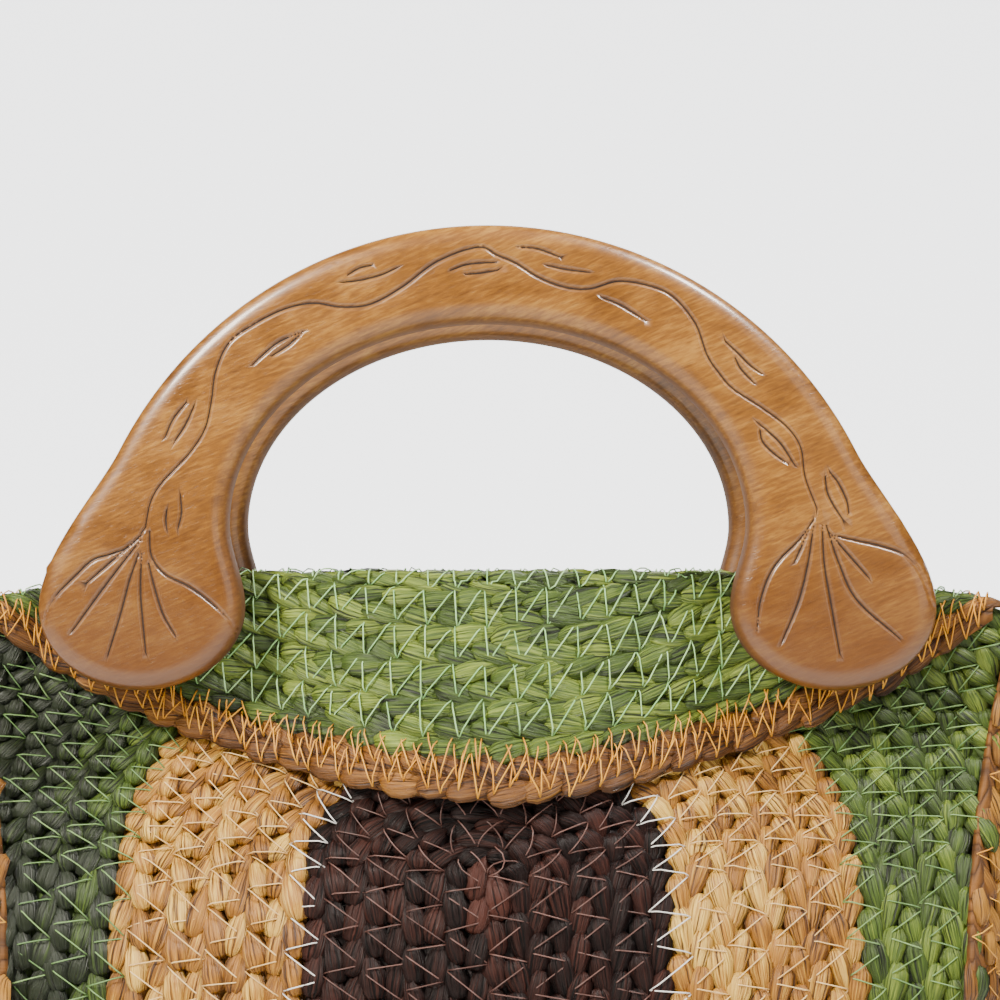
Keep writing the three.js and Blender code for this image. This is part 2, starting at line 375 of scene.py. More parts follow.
@dataclass
class CuffFace(Surface):
    """The cuff: along is the place across the bag, across the height above the lower edge."""

    shape: BagShape

    def base(self, along: Array, across: Array) -> Array:
        """Points on the cuff's inner face, on its leg and round its roll.

        Args:
            along: places across the bag.
            across: heights above the cuff's lower edge, measured along the straw.

        Returns:
            The points.
        """
        s = self.shape
        below = s.cuff_edge(along) - across
        end = s.roll_end(along)
        leg_below = np.maximum(below, end)
        leg_z = s.fold - leg_below
        leg_y = -s.panel_depth(along, leg_z) - s.cuff_stand_off(along, leg_below)
        angle = math.pi - np.maximum(0.0, end - below) / s.roll_radius
        centre = -s.panel_depth(along, s.fold - end) - s.cuff_lift / 2
        radius = s.cuff_lift / 2
        rolled = below < end
        y = np.where(rolled, centre + radius * np.cos(angle), leg_y)
        z = np.where(rolled, s.fold - end + radius * np.sin(angle), leg_z)
        return np.stack([along, y, z], axis=-1)


@dataclass
class GussetFace(Surface):
    """The side and base strip: along runs from the right top round the base to the left top."""

    shape: BagShape
    seam: SeamLine
    samples: int = 41
    fine_samples: int = 126
    past_edge: float = 1.25
    longest_reach: float = 1.2

    def __post_init__(self) -> None:
        """Works out how far across the strip each length from its middle reaches."""
        m, s = self.seam, self.shape
        seam_x, seam_z = m.x - m.out_x * m.inset, m.z - m.out_z * m.inset
        self.half_depth = s.panel_depth(seam_x, seam_z)
        share = np.linspace(0.0, self.past_edge, self.fine_samples)
        inward = self.inward(m.inset[:, None], m.flat[:, None], share[None])
        across = self.half_depth[:, None] * share[None]
        steps = np.hypot(np.diff(inward, axis=1), np.diff(across, axis=1))
        length = np.hstack([np.zeros((len(m.run), 1)), np.cumsum(steps, axis=1)])
        self.half_width = np.array([np.interp(1.0, share, row) for row in length])
        self.reach = np.linspace(0.0, self.longest_reach, self.samples)
        pairs = zip(self.half_width, length)
        self.share = np.array([np.interp(self.reach * half, row, share) for half, row in pairs])

    def inward(self, inset: Array, flat: Array, share: Array) -> Array:
        """How far the strip lies inside the outline.

        Args:
            inset: how far the seam lies inside it.
            flat: 0 on the bag's side, 1 on its base.
            share: shares of the strip's half depth.

        Returns:
            The distances.
        """
        flat_share = self.shape.base_flat_share
        edge = np.maximum(0.0, (np.abs(share) - flat_share) / (1 - flat_share))
        return inset * mix(share * share, edge * edge, flat)

    def base(self, along: Array, across: Array) -> Array:
        """Points on the strip's inner face.

        Args:
            along: places along the strip.
            across: places across it, from its middle.

        Returns:
            The points.
        """
        m, s = self.seam, self.shape
        left = along > m.half_length
        run = np.clip(np.where(left, 2 * m.half_length - along, along), 0.0, m.half_length)
        index = run / m.half_length * (len(m.run) - 1)
        low = np.clip(index.astype(int), 0, len(m.run) - 2)
        part = index - low
        reach = np.abs(across) / between(self.half_width, low, part)
        slot = np.clip(reach / self.reach[-1] * (self.samples - 1), 0, self.samples - 1.001)
        cell = slot.astype(int)
        rest = slot - cell
        near = mix(self.share[low, cell], self.share[low, cell + 1], rest)
        far = mix(self.share[low + 1, cell], self.share[low + 1, cell + 1], rest)
        share = mix(near, far, part)
        inward = self.inward(between(m.inset, low, part), between(m.flat, low, part), share) + s.wall
        x = between(m.x, low, part) - between(m.out_x, low, part) * inward
        z = between(m.z, low, part) - between(m.out_z, low, part) * inward
        y = np.sign(across) * share * between(self.half_depth, low, part)
        return np.stack([np.where(left, -x, x), y, z], axis=-1)


@dataclass
class Heap:
    """Many small closed shapes gathered as arrays, to be joined into one mesh."""

    points: list = field(default_factory=list)
    faces: list = field(default_factory=list)
    marks: list = field(default_factory=list)
    tones: list = field(default_factory=list)
    count: int = 0

    def add(self, points: Array, faces: Array, marks: Array, tones: Array) -> None:
        """Adds copies of a shape.

        Args:
            points: places, copies by vertices by 3.
            faces: triangles of one copy.
            marks: texture places, copies by vertices by 2.
            tones: one shade for each copy.
        """
        copies, size = points.shape[:2]
        offsets = self.count + size * np.arange(copies)
        self.points.append(points.reshape(-1, 3))
        self.faces.append((faces[None] + offsets[:, None, None]).reshape(-1, 3))
        self.marks.append(np.broadcast_to(marks, (copies, size, 2)).reshape(-1, 2))
        self.tones.append(np.repeat(tones, size))
        self.count += copies * size

    def mesh(self, name: str, side: Side) -> bpy.types.Mesh:
        """Makes one mesh with its texture places and shades.

        Args:
            name: the mesh's name.
            side: the side of the bag that it goes to.

        Returns:
            The mesh, in metres.
        """
        points = side.place(np.vstack(self.points)) * MM
        faces = np.vstack(self.faces)
        mesh = bpy.data.meshes.new(name)
        mesh.vertices.add(len(points))
        mesh.vertices.foreach_set("co", points.astype(np.float32).ravel())
        mesh.loops.add(faces.size)
        mesh.loops.foreach_set("vertex_index", faces.astype(np.int32).ravel())
        mesh.polygons.add(len(faces))
        mesh.polygons.foreach_set("loop_start", np.arange(0, faces.size, 3, dtype=np.int32))
        mesh.polygons.foreach_set("use_smooth", np.ones(len(faces), dtype=bool))
        mesh.update(calc_edges=True)
        layer = mesh.uv_layers.new(name="fibre")
        marks = np.vstack(self.marks)[faces.ravel()]
        layer.data.foreach_set("uv", marks.astype(np.float32).ravel())
        shade = mesh.attributes.new("tone", "FLOAT", "POINT")
        shade.data.foreach_set("value", np.concatenate(self.tones).astype(np.float32))
        mesh.validate()
        return mesh


@dataclass(frozen=True)
class Plait:
    """One plaited row: husk leaves that spread from its middle to its edges in turn."""

    repeat: float = 7.4
    length: float = 10.6
    width: float = 5.6
    height: float = 1.5
    start: float = 0.3
    edge: float = 2.75
    bed: float = 1.7
    rise: float = 1.1
    crease: float = 0.13
    rings: int = 6
    round: int = 12
    gathered: float = 0.8
    blunt: float = 0.42
    underside: float = 0.4
    tip_height: float = 0.2
    sunk: float = 0.55
    crest: float = 0.75
    droop: float = 0.45
    widths: tuple[float, float] = (0.8, 1.12)
    lengths: tuple[float, float] = (0.88, 1.12)
    heights: tuple[float, float] = (0.75, 1.2)
    bows: tuple[float, float] = (0.8, 1.3)
    edge_stray: float = 0.3
    start_stray: float = 0.35
    height_stray: float = 0.12
    place_stray: float = 0.3

    def leaf(self) -> tuple[Array, Array, Array]:
        """The unit leaf, gathered to a point at its start and broad near its end.

        Returns:
            Shares along, across and up, the triangles, and a texture place for each point.
        """
        t = 0.5 - 0.5 * np.cos(np.linspace(0, np.pi, self.rings + 2)[1:-1])
        phi = np.linspace(0, 2 * math.pi, self.round, endpoint=False)
        grow = t**self.gathered * (1 - t) ** self.blunt
        grow /= grow.max()
        ridge = 1 + self.crease * np.cos(self.round / 2 * phi)
        side = grow[:, None] * np.cos(phi)[None] * 0.5 * ridge[None]
        swell = np.where(np.sin(phi) > 0, np.sin(phi), self.underside * np.sin(phi)) * ridge
        up = np.sqrt(grow)[:, None] * swell[None]
        along = np.broadcast_to(t[:, None], side.shape)
        body = np.stack([along, side, up], axis=-1).reshape(-1, 3)
        places = np.vstack([body, [[0.0, 0.0, 0.0], [1.0, 0.0, self.tip_height]]])
        faces = []
        for i in range(self.rings - 1):
            for j in range(self.round):
                a, b = i * self.round + j, i * self.round + (j + 1) % self.round
                c, d = a + self.round, b + self.round
                faces += [[a, b, d], [a, d, c]]
        first, last = len(body), len(body) + 1
        end = (self.rings - 1) * self.round
        for j in range(self.round):
            k = (j + 1) % self.round
            faces += [[first, k, j], [last, end + j, end + k]]
        turn = np.append(np.tile(np.abs(phi / math.pi - 1), self.rings), [0.5, 0.5])
        return places, np.array(faces), np.column_stack([turn, places[:, 0]])

    def lay(self, heap: Heap, surface: Surface, middle: float, starts: Array, hand: float,
            rng: np.random.Generator, tones: Array | None = None, way: float = 1.0) -> None:
        """Lays the leaves of one edge of a row.

        Args:
            heap: where the leaves go.
            surface: the face that they lie on.
            middle: place across the surface of the row's middle.
            starts: places along the row.
            hand: 1 or -1, the edge to which the leaves spread.
            rng: random draws.
            tones: shades of the leaves, or none for random ones.
            way: 1 or -1, the direction in which the leaves point along the row.
        """
        count = len(starts)
        if count == 0:
            return
        places, faces, marks = self.leaf()
        t, side, up = places.T
        wide = self.width * rng.uniform(*self.widths, (count, 1))
        long = self.length * rng.uniform(*self.lengths, (count, 1))
        tall = self.height * rng.uniform(*self.heights, (count, 1))
        edge = self.edge + rng.normal(0, self.edge_stray, (count, 1))
        slope = (edge - self.start) / long
        bow = rng.uniform(*self.bows, (count, 1))
        begin = self.start + rng.normal(0, self.start_stray, (count, 1))
        line = mix(begin, edge, t[None] ** bow)
        run = way * ((t[None] - 0.5) * long - side[None] * wide * slope * hand)
        cross = hand * line + side[None] * wide
        arch = smooth(t / self.crest) - self.droop * smooth((t - self.crest) / (1 - self.crest))
        stray = rng.normal(0, self.height_stray, (count, 1))
        height = self.bed - self.sunk + self.rise * arch[None] + up[None] * tall + stray
        points = surface.lift(starts[:, None] + run, middle + cross, height)
        if surface.outward * way < 0:
            faces = faces[:, ::-1]
        fibre = marks[None] + rng.uniform(0, 50, (count, 1, 2))
        shades = rng.uniform(0, 1, count) if tones is None else tones
        heap.add(points, faces, fibre, shades)

    def starts(self, begin: float, end: float, rng: np.random.Generator) -> Array:
        """Places along a row at which its leaves stand, half a repeat apart.

        Args:
            begin: the row's first place.
            end: its last place.
            rng: random draws.

        Returns:
            The places, an even number of them.
        """
        steps = max(2, int(round((end - begin) / (self.repeat / 2))))
        steps += steps % 2
        spacing = (end - begin) / steps
        return begin + spacing * (np.arange(steps) + 0.5) + rng.normal(0, self.place_stray, steps)


@dataclass(frozen=True)
class Stitch:
    """Zigzag machine sewing over the joint between two rows."""

    pitch: float = 7.2
    reach: float = 4.1
    lean: float = 0.24
    radius: float = 0.15
    level: float = 4.15
    steps: int = 5
    stray: float = 0.3
    sides: int = 4
    dive: float = 1.5
    dive_power: int = 7
    sag: float = 0.35
    height_stray: float = 0.12

    def wander(self, rng: np.random.Generator, count: int) -> Array:
        """Small random shifts of the needle's places."""
        return rng.normal(0, self.stray, count)

    def sew(self, heap: Heap, surface: Surface, joint: float, spans: Array, way: Array,
            rng: np.random.Generator) -> None:
        """Sews along one joint.

        Args:
            heap: where the thread goes.
            surface: the face that is sewn.
            joint: place across the surface.
            spans: places along the joint at which a zigzag starts.
            way: 1 or -1 for each start, the direction of sewing.
            rng: random draws.
        """
        if len(spans) == 0:
            return
        ends = []
        for shift, reach in ((0.0, -self.reach), (-self.lean, self.reach), (1 - self.lean, self.reach)):
            along = spans + shift * self.pitch * way + self.wander(rng, len(spans))
            ends.append(np.column_stack([along, joint + reach + self.wander(rng, len(spans))]))
        low, high, next_high = ends
        self.legs(heap, surface, low, high, rng)
        self.legs(heap, surface, low, next_high, rng)

    def legs(self, heap: Heap, surface: Surface, begin: Array, end: Array,
             rng: np.random.Generator) -> None:
        """Makes one straight thread between each pair of places.

        Args:
            heap: where the thread goes.
            surface: the face that is sewn.
            begin: places along and across at which the threads start.
            end: places at which they end.
            rng: random draws.
        """
        count = len(begin)
        t = np.linspace(0, 1, self.steps + 1)
        flat = begin[:, None] * (1 - t)[None, :, None] + end[:, None] * t[None, :, None]
        dip = self.dive * np.abs(2 * t - 1) ** self.dive_power + self.sag * np.sin(np.pi * t)
        height = self.level - dip[None] + rng.normal(0, self.height_stray, (count, 1))
        line = surface.lift(flat[..., 0], flat[..., 1], np.broadcast_to(height, flat.shape[:2]))
        direction = np.gradient(line, axis=1)
        direction /= np.linalg.norm(direction, axis=-1, keepdims=True)
        near = surface.lift(flat[..., 0], flat[..., 1], height + 1.0)
        up = near - line
        aside = np.cross(direction, up)
        aside /= np.linalg.norm(aside, axis=-1, keepdims=True)
        up = np.cross(aside, direction)
        n = self.sides
        corners = np.linspace(0, 2 * math.pi, n, endpoint=False)
        rings = [line + self.radius * (math.cos(c) * aside + math.sin(c) * up) for c in corners]
        points = np.stack(rings, axis=2).reshape(count, -1, 3)
        faces = []
        for i in range(self.steps):
            for j in range(n):
                a, b = n * i + j, n * i + (j + 1) % n
                faces += [[a, b, b + n], [a, b + n, a + n]]
        last = n * self.steps
        for j in range(1, n - 1):
            faces += [[0, j + 1, j], [last, last + j, last + j + 1]]
        marks = np.column_stack([np.tile(corners, self.steps + 1), np.repeat(t, n)])
        heap.add(points, np.array(faces)[:, ::-1], marks, rng.uniform(0, 1, count))


class Wires:
    """A socket of a node tree, on which Python's operators add Math nodes."""

    def __init__(self, tree: bpy.types.NodeTree, socket: bpy.types.NodeSocket) -> None:
        """Keeps the tree and the socket."""
        self.tree, self.socket = tree, socket

    def math(self, operation: str, *others: object) -> "Wires":
        """Adds one Math node."""
        return Nodes(self.tree).add("ShaderNodeMath", {"operation": operation}, [self, *others])

    def __add__(self, other: object) -> "Wires":
        """Sum."""
        return self.math("ADD", other)

    def __radd__(self, other: object) -> "Wires":
        """Sum with the socket on the right."""
        return self.math("ADD", other)

    def __sub__(self, other: object) -> "Wires":
        """Difference."""
        return self.math("SUBTRACT", other)

    def __rsub__(self, other: object) -> "Wires":
        """Difference with the socket on the right."""
        return Nodes(self.tree).add("ShaderNodeMath", {"operation": "SUBTRACT"}, [other, self])

    def __mul__(self, other: object) -> "Wires":
        """Product."""
        return self.math("MULTIPLY", other)

    def __rmul__(self, other: object) -> "Wires":
        """Product with the socket on the right."""
        return self.math("MULTIPLY", other)


class Nodes:
    """Adds nodes to one tree."""

    def __init__(self, tree: bpy.types.NodeTree) -> None:
        """Keeps the tree."""
        self.tree = tree

    def put(self, kind: str, settings: dict | None = None, inputs: object = ()) -> bpy.types.Node:
        """Adds a node.

        Args:
            kind: the node's type.
            settings: values set on the node first; "stops" are a ramp's places and colours.
            inputs: socket values or links, by name or in order.

        Returns:
            The node.
        """
        node = self.tree.nodes.new(kind)
        for name, value in (settings or {}).items():
            if name == "stops":
                self.stops(node.color_ramp, value)
            else:
                setattr(node, name, value)
        pairs = inputs.items() if isinstance(inputs, dict) else enumerate(inputs)
        for key, value in pairs:
            socket = node.inputs[key]
            if isinstance(value, Wires):
                self.tree.links.new(value.socket, socket)
            elif value is not None:
                socket.default_value = value
        return node

    def add(self, kind: str, settings: dict | None = None, inputs: object = (),
            output: int | str = 0) -> Wires:
        """Adds a node and gives one of its outputs."""
        return Wires(self.tree, self.put(kind, settings, inputs).outputs[output])

    @staticmethod
    def stops(ramp: bpy.types.ColorRamp, stops: list) -> None:
        """Sets a ramp's places and colours.

        Args:
            ramp: the ramp.
            stops: pairs of a place and a colour.
        """
        while len(ramp.elements) < len(stops):
            ramp.elements.new(1.0)
        for element, (place, colour) in zip(ramp.elements, stops):
            element.position = place
            element.color = (*colour, 1.0)

    def noise(self, place: Wires, scale: tuple, detail: float, distortion: float = 0.0) -> Wires:
        """Adds a noise texture whose grains are stretched by a scale along each axis.

        Args:
            place: where the texture is read.
            scale: grains per unit along each axis.
            detail: how many finer layers it has.
            distortion: how far the grains are warped.

        Returns:
            The noise, from 0 to 1.
        """
        spot = self.add("ShaderNodeMapping", {}, {"Vector": place, "Scale": scale})
        inputs = {"Vector": spot, "Scale": 1.0, "Detail": detail, "Distortion": distortion}
        return self.add("ShaderNodeTexNoise", {}, inputs)

    def blend(self, factor: object, a: object, b: object) -> Wires:
        """Mixes two colours.

        Args:
            factor: 0 for the first colour, 1 for the second.
            a: the first colour, a link or three numbers.
            b: the second colour.

        Returns:
            The mixed colour.
        """
        first, second = (c if isinstance(c, Wires) else (*c, 1.0) for c in (a, b))
        return self.add("ShaderNodeMix", {"data_type": "RGBA"}, {0: factor, 6: first, 7: second}, 2)


def fresh_material(name: str) -> tuple[bpy.types.Material, Nodes, bpy.types.Node]:
    """Makes an empty material with a surface shader.

    Args:
        name: the material's name.

    Returns:
        The material, its nodes and the shader.
    """
    material = bpy.data.materials.new(name)
    material.use_nodes = True
    material.node_tree.nodes.clear()
    nodes = Nodes(material.node_tree)
    shader = nodes.put("ShaderNodeBsdfPrincipled")
    out = nodes.put("ShaderNodeOutputMaterial")
    material.node_tree.links.new(shader.outputs[0], out.inputs[0])
    return material, nodes, shader


Colour = tuple[float, float, float]


@dataclass(frozen=True)
class StrawFinish:
    """Dyed husk leaves: fibres and creases along each leaf with painted shade in the grooves between fibre
    strips, a tone for each leaf, a satin sheen.

    Scales count grains round a leaf, along it and off it.
    """

    name: str
    dark: Colour
    body: Colour
    light: Colour
    roughness: float = 0.46
    sheen: float = 0.5
    fibre_depth: float = 1.0
    fine_scale: tuple = (62.0, 1.6, 1.0)
    strip_scale: tuple = (17.0, 0.8, 1.0)
    cloud_scale: tuple = (2.2, 1.4, 1.0)
    groove_painted_shade: float = 0.35

    def material(self) -> bpy.types.Material:
        """Makes the material; its texture places are shares round and along a leaf.

        Returns:
            The material.
        """
        material, nodes, shader = fresh_material(self.name)
        tree = material.node_tree
        place = nodes.add("ShaderNodeUVMap", {"uv_map": "fibre"})
        tone = nodes.add("ShaderNodeAttribute", {"attribute_name": "tone"}, (), "Fac")
        fine = nodes.noise(place, self.fine_scale, 2.0)
        strip = nodes.noise(place, self.strip_scale, 2.0)
        cloud = nodes.noise(place, self.cloud_scale, 2.0)
        spread = tone * 0.36 + fine * 0.85 + strip * 1.05 + cloud * 0.35 - 0.83
        ramp = nodes.add(
            "ShaderNodeValToRGB",
            {"stops": [(0.10, self.dark), (0.48, self.body), (0.90, self.light)]},
            {"Fac": spread},
        )
        # painted shade: the grooves between fibre strips, which the bump lowers, are darkened
        gap = nodes.add("ShaderNodeMapRange", {}, {"Value": strip, "From Min": 0.42, "From Max": 0.34})
        painted_shade_colour = tuple(self.groove_painted_shade * part for part in self.dark)
        colour = nodes.blend(gap * 0.85, ramp, painted_shade_colour)
        tree.links.new(colour.socket, shader.inputs["Base Color"])
        gloss = fine * 0.35 + (self.roughness - 0.15)
        tree.links.new(gloss.socket, shader.inputs["Roughness"])
        rise = fine * 0.45 + strip * 0.9 - gap * 0.3
        bump = nodes.add(
            "ShaderNodeBump", {}, {"Strength": self.fibre_depth, "Distance": 0.0006, "Height": rise}
        )
        tree.links.new(bump.socket, shader.inputs["Normal"])
        shader.inputs["Specular IOR Level"].default_value = self.sheen
        return material


@dataclass(frozen=True)
class BackingFinish:
    """The plaited wall under the leaves: chevrons of flat leaves, in shade between the rows."""

    name: str
    dark: Colour
    body: Colour
    repeat: float = 7.4
    slant: float = 2.4

    def material(self) -> bpy.types.Material:
        """Makes the material; its texture places are millimetres along and rows across.

        Returns:
            The material.
        """
        material, nodes, shader = fresh_material(self.name)
        place = nodes.add("ShaderNodeUVMap", {"uv_map": "fibre"})
        parts = nodes.put("ShaderNodeSeparateXYZ", {}, [place])
        along = Wires(material.node_tree, parts.outputs[0])
        across = Wires(material.node_tree, parts.outputs[1])
        fold = (across.math("FRACT") - 0.5).math("ABSOLUTE")
        slant = (along * (2.0 / self.repeat) + fold * self.slant).math("FRACT")
        leaf = (slant - 0.5).math("ABSOLUTE") * 2.0
        valley = fold * 2.0
        grain = nodes.add("ShaderNodeTexNoise", {}, {"Vector": place, "Scale": 3.0, "Detail": 3.0})
        shade = (1.0 - leaf.math("POWER", 3.0)) * (1.0 - valley.math("POWER", 4.0))
        colour = nodes.blend(shade * 0.7 + grain * 0.4, self.dark, self.body)
        tree = material.node_tree
        tree.links.new(colour.socket, shader.inputs["Base Color"])
        bump = nodes.add(
            "ShaderNodeBump", {}, {"Strength": 0.6, "Distance": 0.001, "Height": shade + grain * 0.2}
        )
        tree.links.new(bump.socket, shader.inputs["Normal"])
        shader.inputs["Roughness"].default_value = 0.7
        return material


@dataclass(frozen=True)
class ThreadFinish:
    """Sewing thread with a fine twist."""

    name: str
    colour: Colour
    pale: Colour

    def material(self) -> bpy.types.Material:
        """Makes the material.

        Returns:
            The material.
        """
        material, nodes, shader = fresh_material(self.name)
        place = nodes.add("ShaderNodeUVMap", {"uv_map": "fibre"})
        tone = nodes.add("ShaderNodeAttribute", {"attribute_name": "tone"}, (), "Fac")
        twist = nodes.add(
            "ShaderNodeTexWave", {"bands_direction": "DIAGONAL"}, {"Vector": place, "Scale": 9.0}
        )
        colour = nodes.blend(twist * 0.3 + tone * 0.6, self.colour, self.pale)
        material.node_tree.links.new(colour.socket, shader.inputs["Base Color"])
        shader.inputs["Roughness"].default_value = 0.42
        return material


@dataclass(frozen=True)
class WoodFinish:
    """Varnished hardwood with fine short grain, a painted side light that makes it redder and darker low
    down, and dark carved lines.

    Heights are metres above the bag's base, and scales count grains to a metre.
    """

    name: str = "varnished_wood"
    dark: Colour = (0.075, 0.024, 0.0030)
    body: Colour = (0.225, 0.085, 0.0090)
    light: Colour = (0.43, 0.205, 0.032)
    painted_side_light: Colour = (0.100, 0.030, 0.0036)
    cut: Colour = (0.014, 0.005, 0.002)
    painted_side_light_top: float = 0.237
    painted_side_light_full_below: float = 0.187
    tilt: float = 0.40
    grain_scale: tuple = (200.0, 700.0, 1500.0)
    fleck_scale: tuple = (520.0, 1100.0, 2600.0)
    figure_scale: tuple = (55.0, 70.0, 95.0)

    def material(self) -> bpy.types.Material:
        """Makes the material, on Object coordinates and the depth of the carving.

        Returns:
            The material.
        """
        material, nodes, shader = fresh_material(self.name)
        tree = material.node_tree
        place = nodes.add("ShaderNodeTexCoord", {}, (), "Object")
        carved = nodes.add("ShaderNodeAttribute", {"attribute_name": "carved"}, (), "Fac")
        wall = nodes.add("ShaderNodeAttribute", {"attribute_name": "wall"}, (), "Fac")
        turn = {"Vector": place, "Rotation": (0.0, self.tilt, 0.0)}
        tilted = nodes.add("ShaderNodeMapping", {}, turn)
        grain = nodes.noise(tilted, self.grain_scale, 3.0, 0.5)
        fleck = nodes.noise(tilted, self.fleck_scale, 2.0)
        figure = nodes.noise(place, self.figure_scale, 3.0, 0.8)
        spread = grain * 0.75 + figure * 0.70 + fleck * 0.35 - 0.40
        ramp = nodes.add(
            "ShaderNodeValToRGB",
            {"stops": [(0.12, self.dark), (0.5, self.body), (0.85, self.light)]},
            {"Fac": spread},
        )
        parts = nodes.put("ShaderNodeSeparateXYZ", {}, [place])
        height = Wires(tree, parts.outputs[2])
        # painted side light: below a height the wood turns redder and darker
        low = nodes.add(
            "ShaderNodeMapRange",
            {"interpolation_type": "SMOOTHSTEP"},
            {"Value": height, "From Min": self.painted_side_light_top, "From Max": self.painted_side_light_full_below},
        )
        side_lit = nodes.blend(low * 0.8, ramp, self.painted_side_light)
        pore = nodes.add("ShaderNodeMapRange", {}, {"Value": fleck, "From Min": 0.60, "From Max": 0.72})
        aged = nodes.blend(pore * 0.4, side_lit, self.dark)
        core = nodes.add(
            "ShaderNodeMapRange",
            {"interpolation_type": "SMOOTHSTEP"},
            {"Value": carved, "From Min": 0.35, "From Max": 0.95},
        )
        # painted shade: the hand opening's wall is darkened
        shaded = nodes.blend(wall * 0.6, aged, self.dark)
        colour = nodes.blend(core * 0.95, shaded, self.cut)
        tree.links.new(colour.socket, shader.inputs["Base Color"])
        rise = grain * 0.5 + fleck * 0.4 - pore * 0.5
        bump = nodes.add("ShaderNodeBump", {}, {"Strength": 0.3, "Distance": 0.0002, "Height": rise})
        tree.links.new(bump.socket, shader.inputs["Normal"])
        gloss = figure * 0.3 + carved * 0.3 + wall * 0.45 + 0.24
        tree.links.new(gloss.socket, shader.inputs["Roughness"])
        coat = 0.5 - wall * 0.5 - core * 0.5
        tree.links.new(coat.socket, shader.inputs["Coat Weight"])
        shader.inputs["Coat Roughness"].default_value = 0.17
        return material


@dataclass(frozen=True)
class ScrewFinish:
    """Plain zinc-plated steel with a faint brushed grain."""

    name: str = "screw_steel"
    dark: Colour = (0.42, 0.41, 0.38)
    light: Colour = (0.62, 0.61, 0.58)

    def material(self) -> bpy.types.Material:
        """Makes the material, on Object coordinates.

        Returns:
            The material.
        """
        material, nodes, shader = fresh_material(self.name)
        place = nodes.add("ShaderNodeTexCoord", {}, (), "Object")
        scratch = nodes.add("ShaderNodeTexNoise", {}, {"Vector": place, "Scale": 900.0, "Detail": 2.0})
        colour = nodes.blend(scratch, self.dark, self.light)
        material.node_tree.links.new(colour.socket, shader.inputs["Base Color"])
        rough = scratch * 0.2 + 0.3
        material.node_tree.links.new(rough.socket, shader.inputs["Roughness"])
        shader.inputs["Metallic"].default_value = 1.0
        return material


@dataclass
class Palette:
    """All finishes of the bag, each made once."""

    straws: dict = field(default_factory=dict)
    backs: dict = field(default_factory=dict)
    threads: dict = field(default_factory=dict)

    def __post_init__(self) -> None:
        """Makes the materials."""
        tones = {
            Straw.BROWN: ((0.002, 0.0007, 0.0006), (0.011, 0.0030, 0.0022), (0.060, 0.018, 0.012)),
            Straw.NATURAL: ((0.110, 0.034, 0.004), (0.40, 0.165, 0.015), (0.93, 0.62, 0.125)),
            Straw.GREEN: ((0.007, 0.013, 0.001), (0.057, 0.104, 0.0070), (0.27, 0.345, 0.038)),
            Straw.RUST: ((0.055, 0.016, 0.002), (0.21, 0.076, 0.0065), (0.52, 0.240, 0.030)),
        }
        for straw, (dark, body, light) in tones.items():
            sheen = 0.22 if straw is Straw.BROWN else 0.5
            finish = StrawFinish(straw.value, dark, body, light, sheen=sheen)
            self.straws[straw] = finish.material()
            # painted shade: the wall under the leaves darkens towards half the straw's darkest colour at
            # leaf edges and between rows
            painted_shade_colour = tuple(0.5 * c for c in dark)
            self.backs[straw] = BackingFinish(straw.value + "_wall", painted_shade_colour, body).material()
        threads = {
            "pink": ((0.05, 0.020, 0.016), (0.20, 0.100, 0.082)),
            "moss": ((0.07, 0.165, 0.045), (0.27, 0.43, 0.15)),
            "white": ((0.75, 0.72, 0.68), (0.92, 0.90, 0.86)),
            "tan": ((0.66, 0.38, 0.12), (0.88, 0.64, 0.30)),
            "mint": ((0.20, 0.46, 0.14), (0.50, 0.74, 0.36)),
            "gold": ((0.56, 0.21, 0.010), (0.82, 0.42, 0.045)),
        }
        for name, (colour, pale) in threads.items():
            self.threads[name] = ThreadFinish(name + "_thread", colour, pale).material()
        self.wood = WoodFinish().material()
        self.steel = ScrewFinish().material()


def as_object(name: str, mesh: bpy.types.Mesh, *materials: bpy.types.Material) -> bpy.types.Object:
    """Puts a mesh in the scene.

    Args:
        name: the object's name.
        mesh: its mesh.
        materials: its materials, in slot order.

    Returns:
        The object.
    """
    made = bpy.data.objects.new(name, mesh)
    bpy.context.scene.collection.objects.link(made)
    for material in materials:
        mesh.materials.append(material)
    return made


def finish_piece(name: str, mesh: bpy.types.Mesh, materials: list, replaced: str = "") -> None:
    """Puts one piece of the bag in the scene, hides the CAD node that it stands for and logs its
    triangles.

    Args:
        name: the piece's name.
        mesh: its mesh, in place.
        materials: its materials, in slot order.
        replaced: the CAD node that it stands for, if any.
    """
    piece = as_object(name, mesh, *materials)
    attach(piece, "root")
    if replaced:
        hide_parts(replaced)
    mesh.calc_loop_triangles()
    LOG.info("%s: %d triangles", name, len(mesh.loop_triangles))


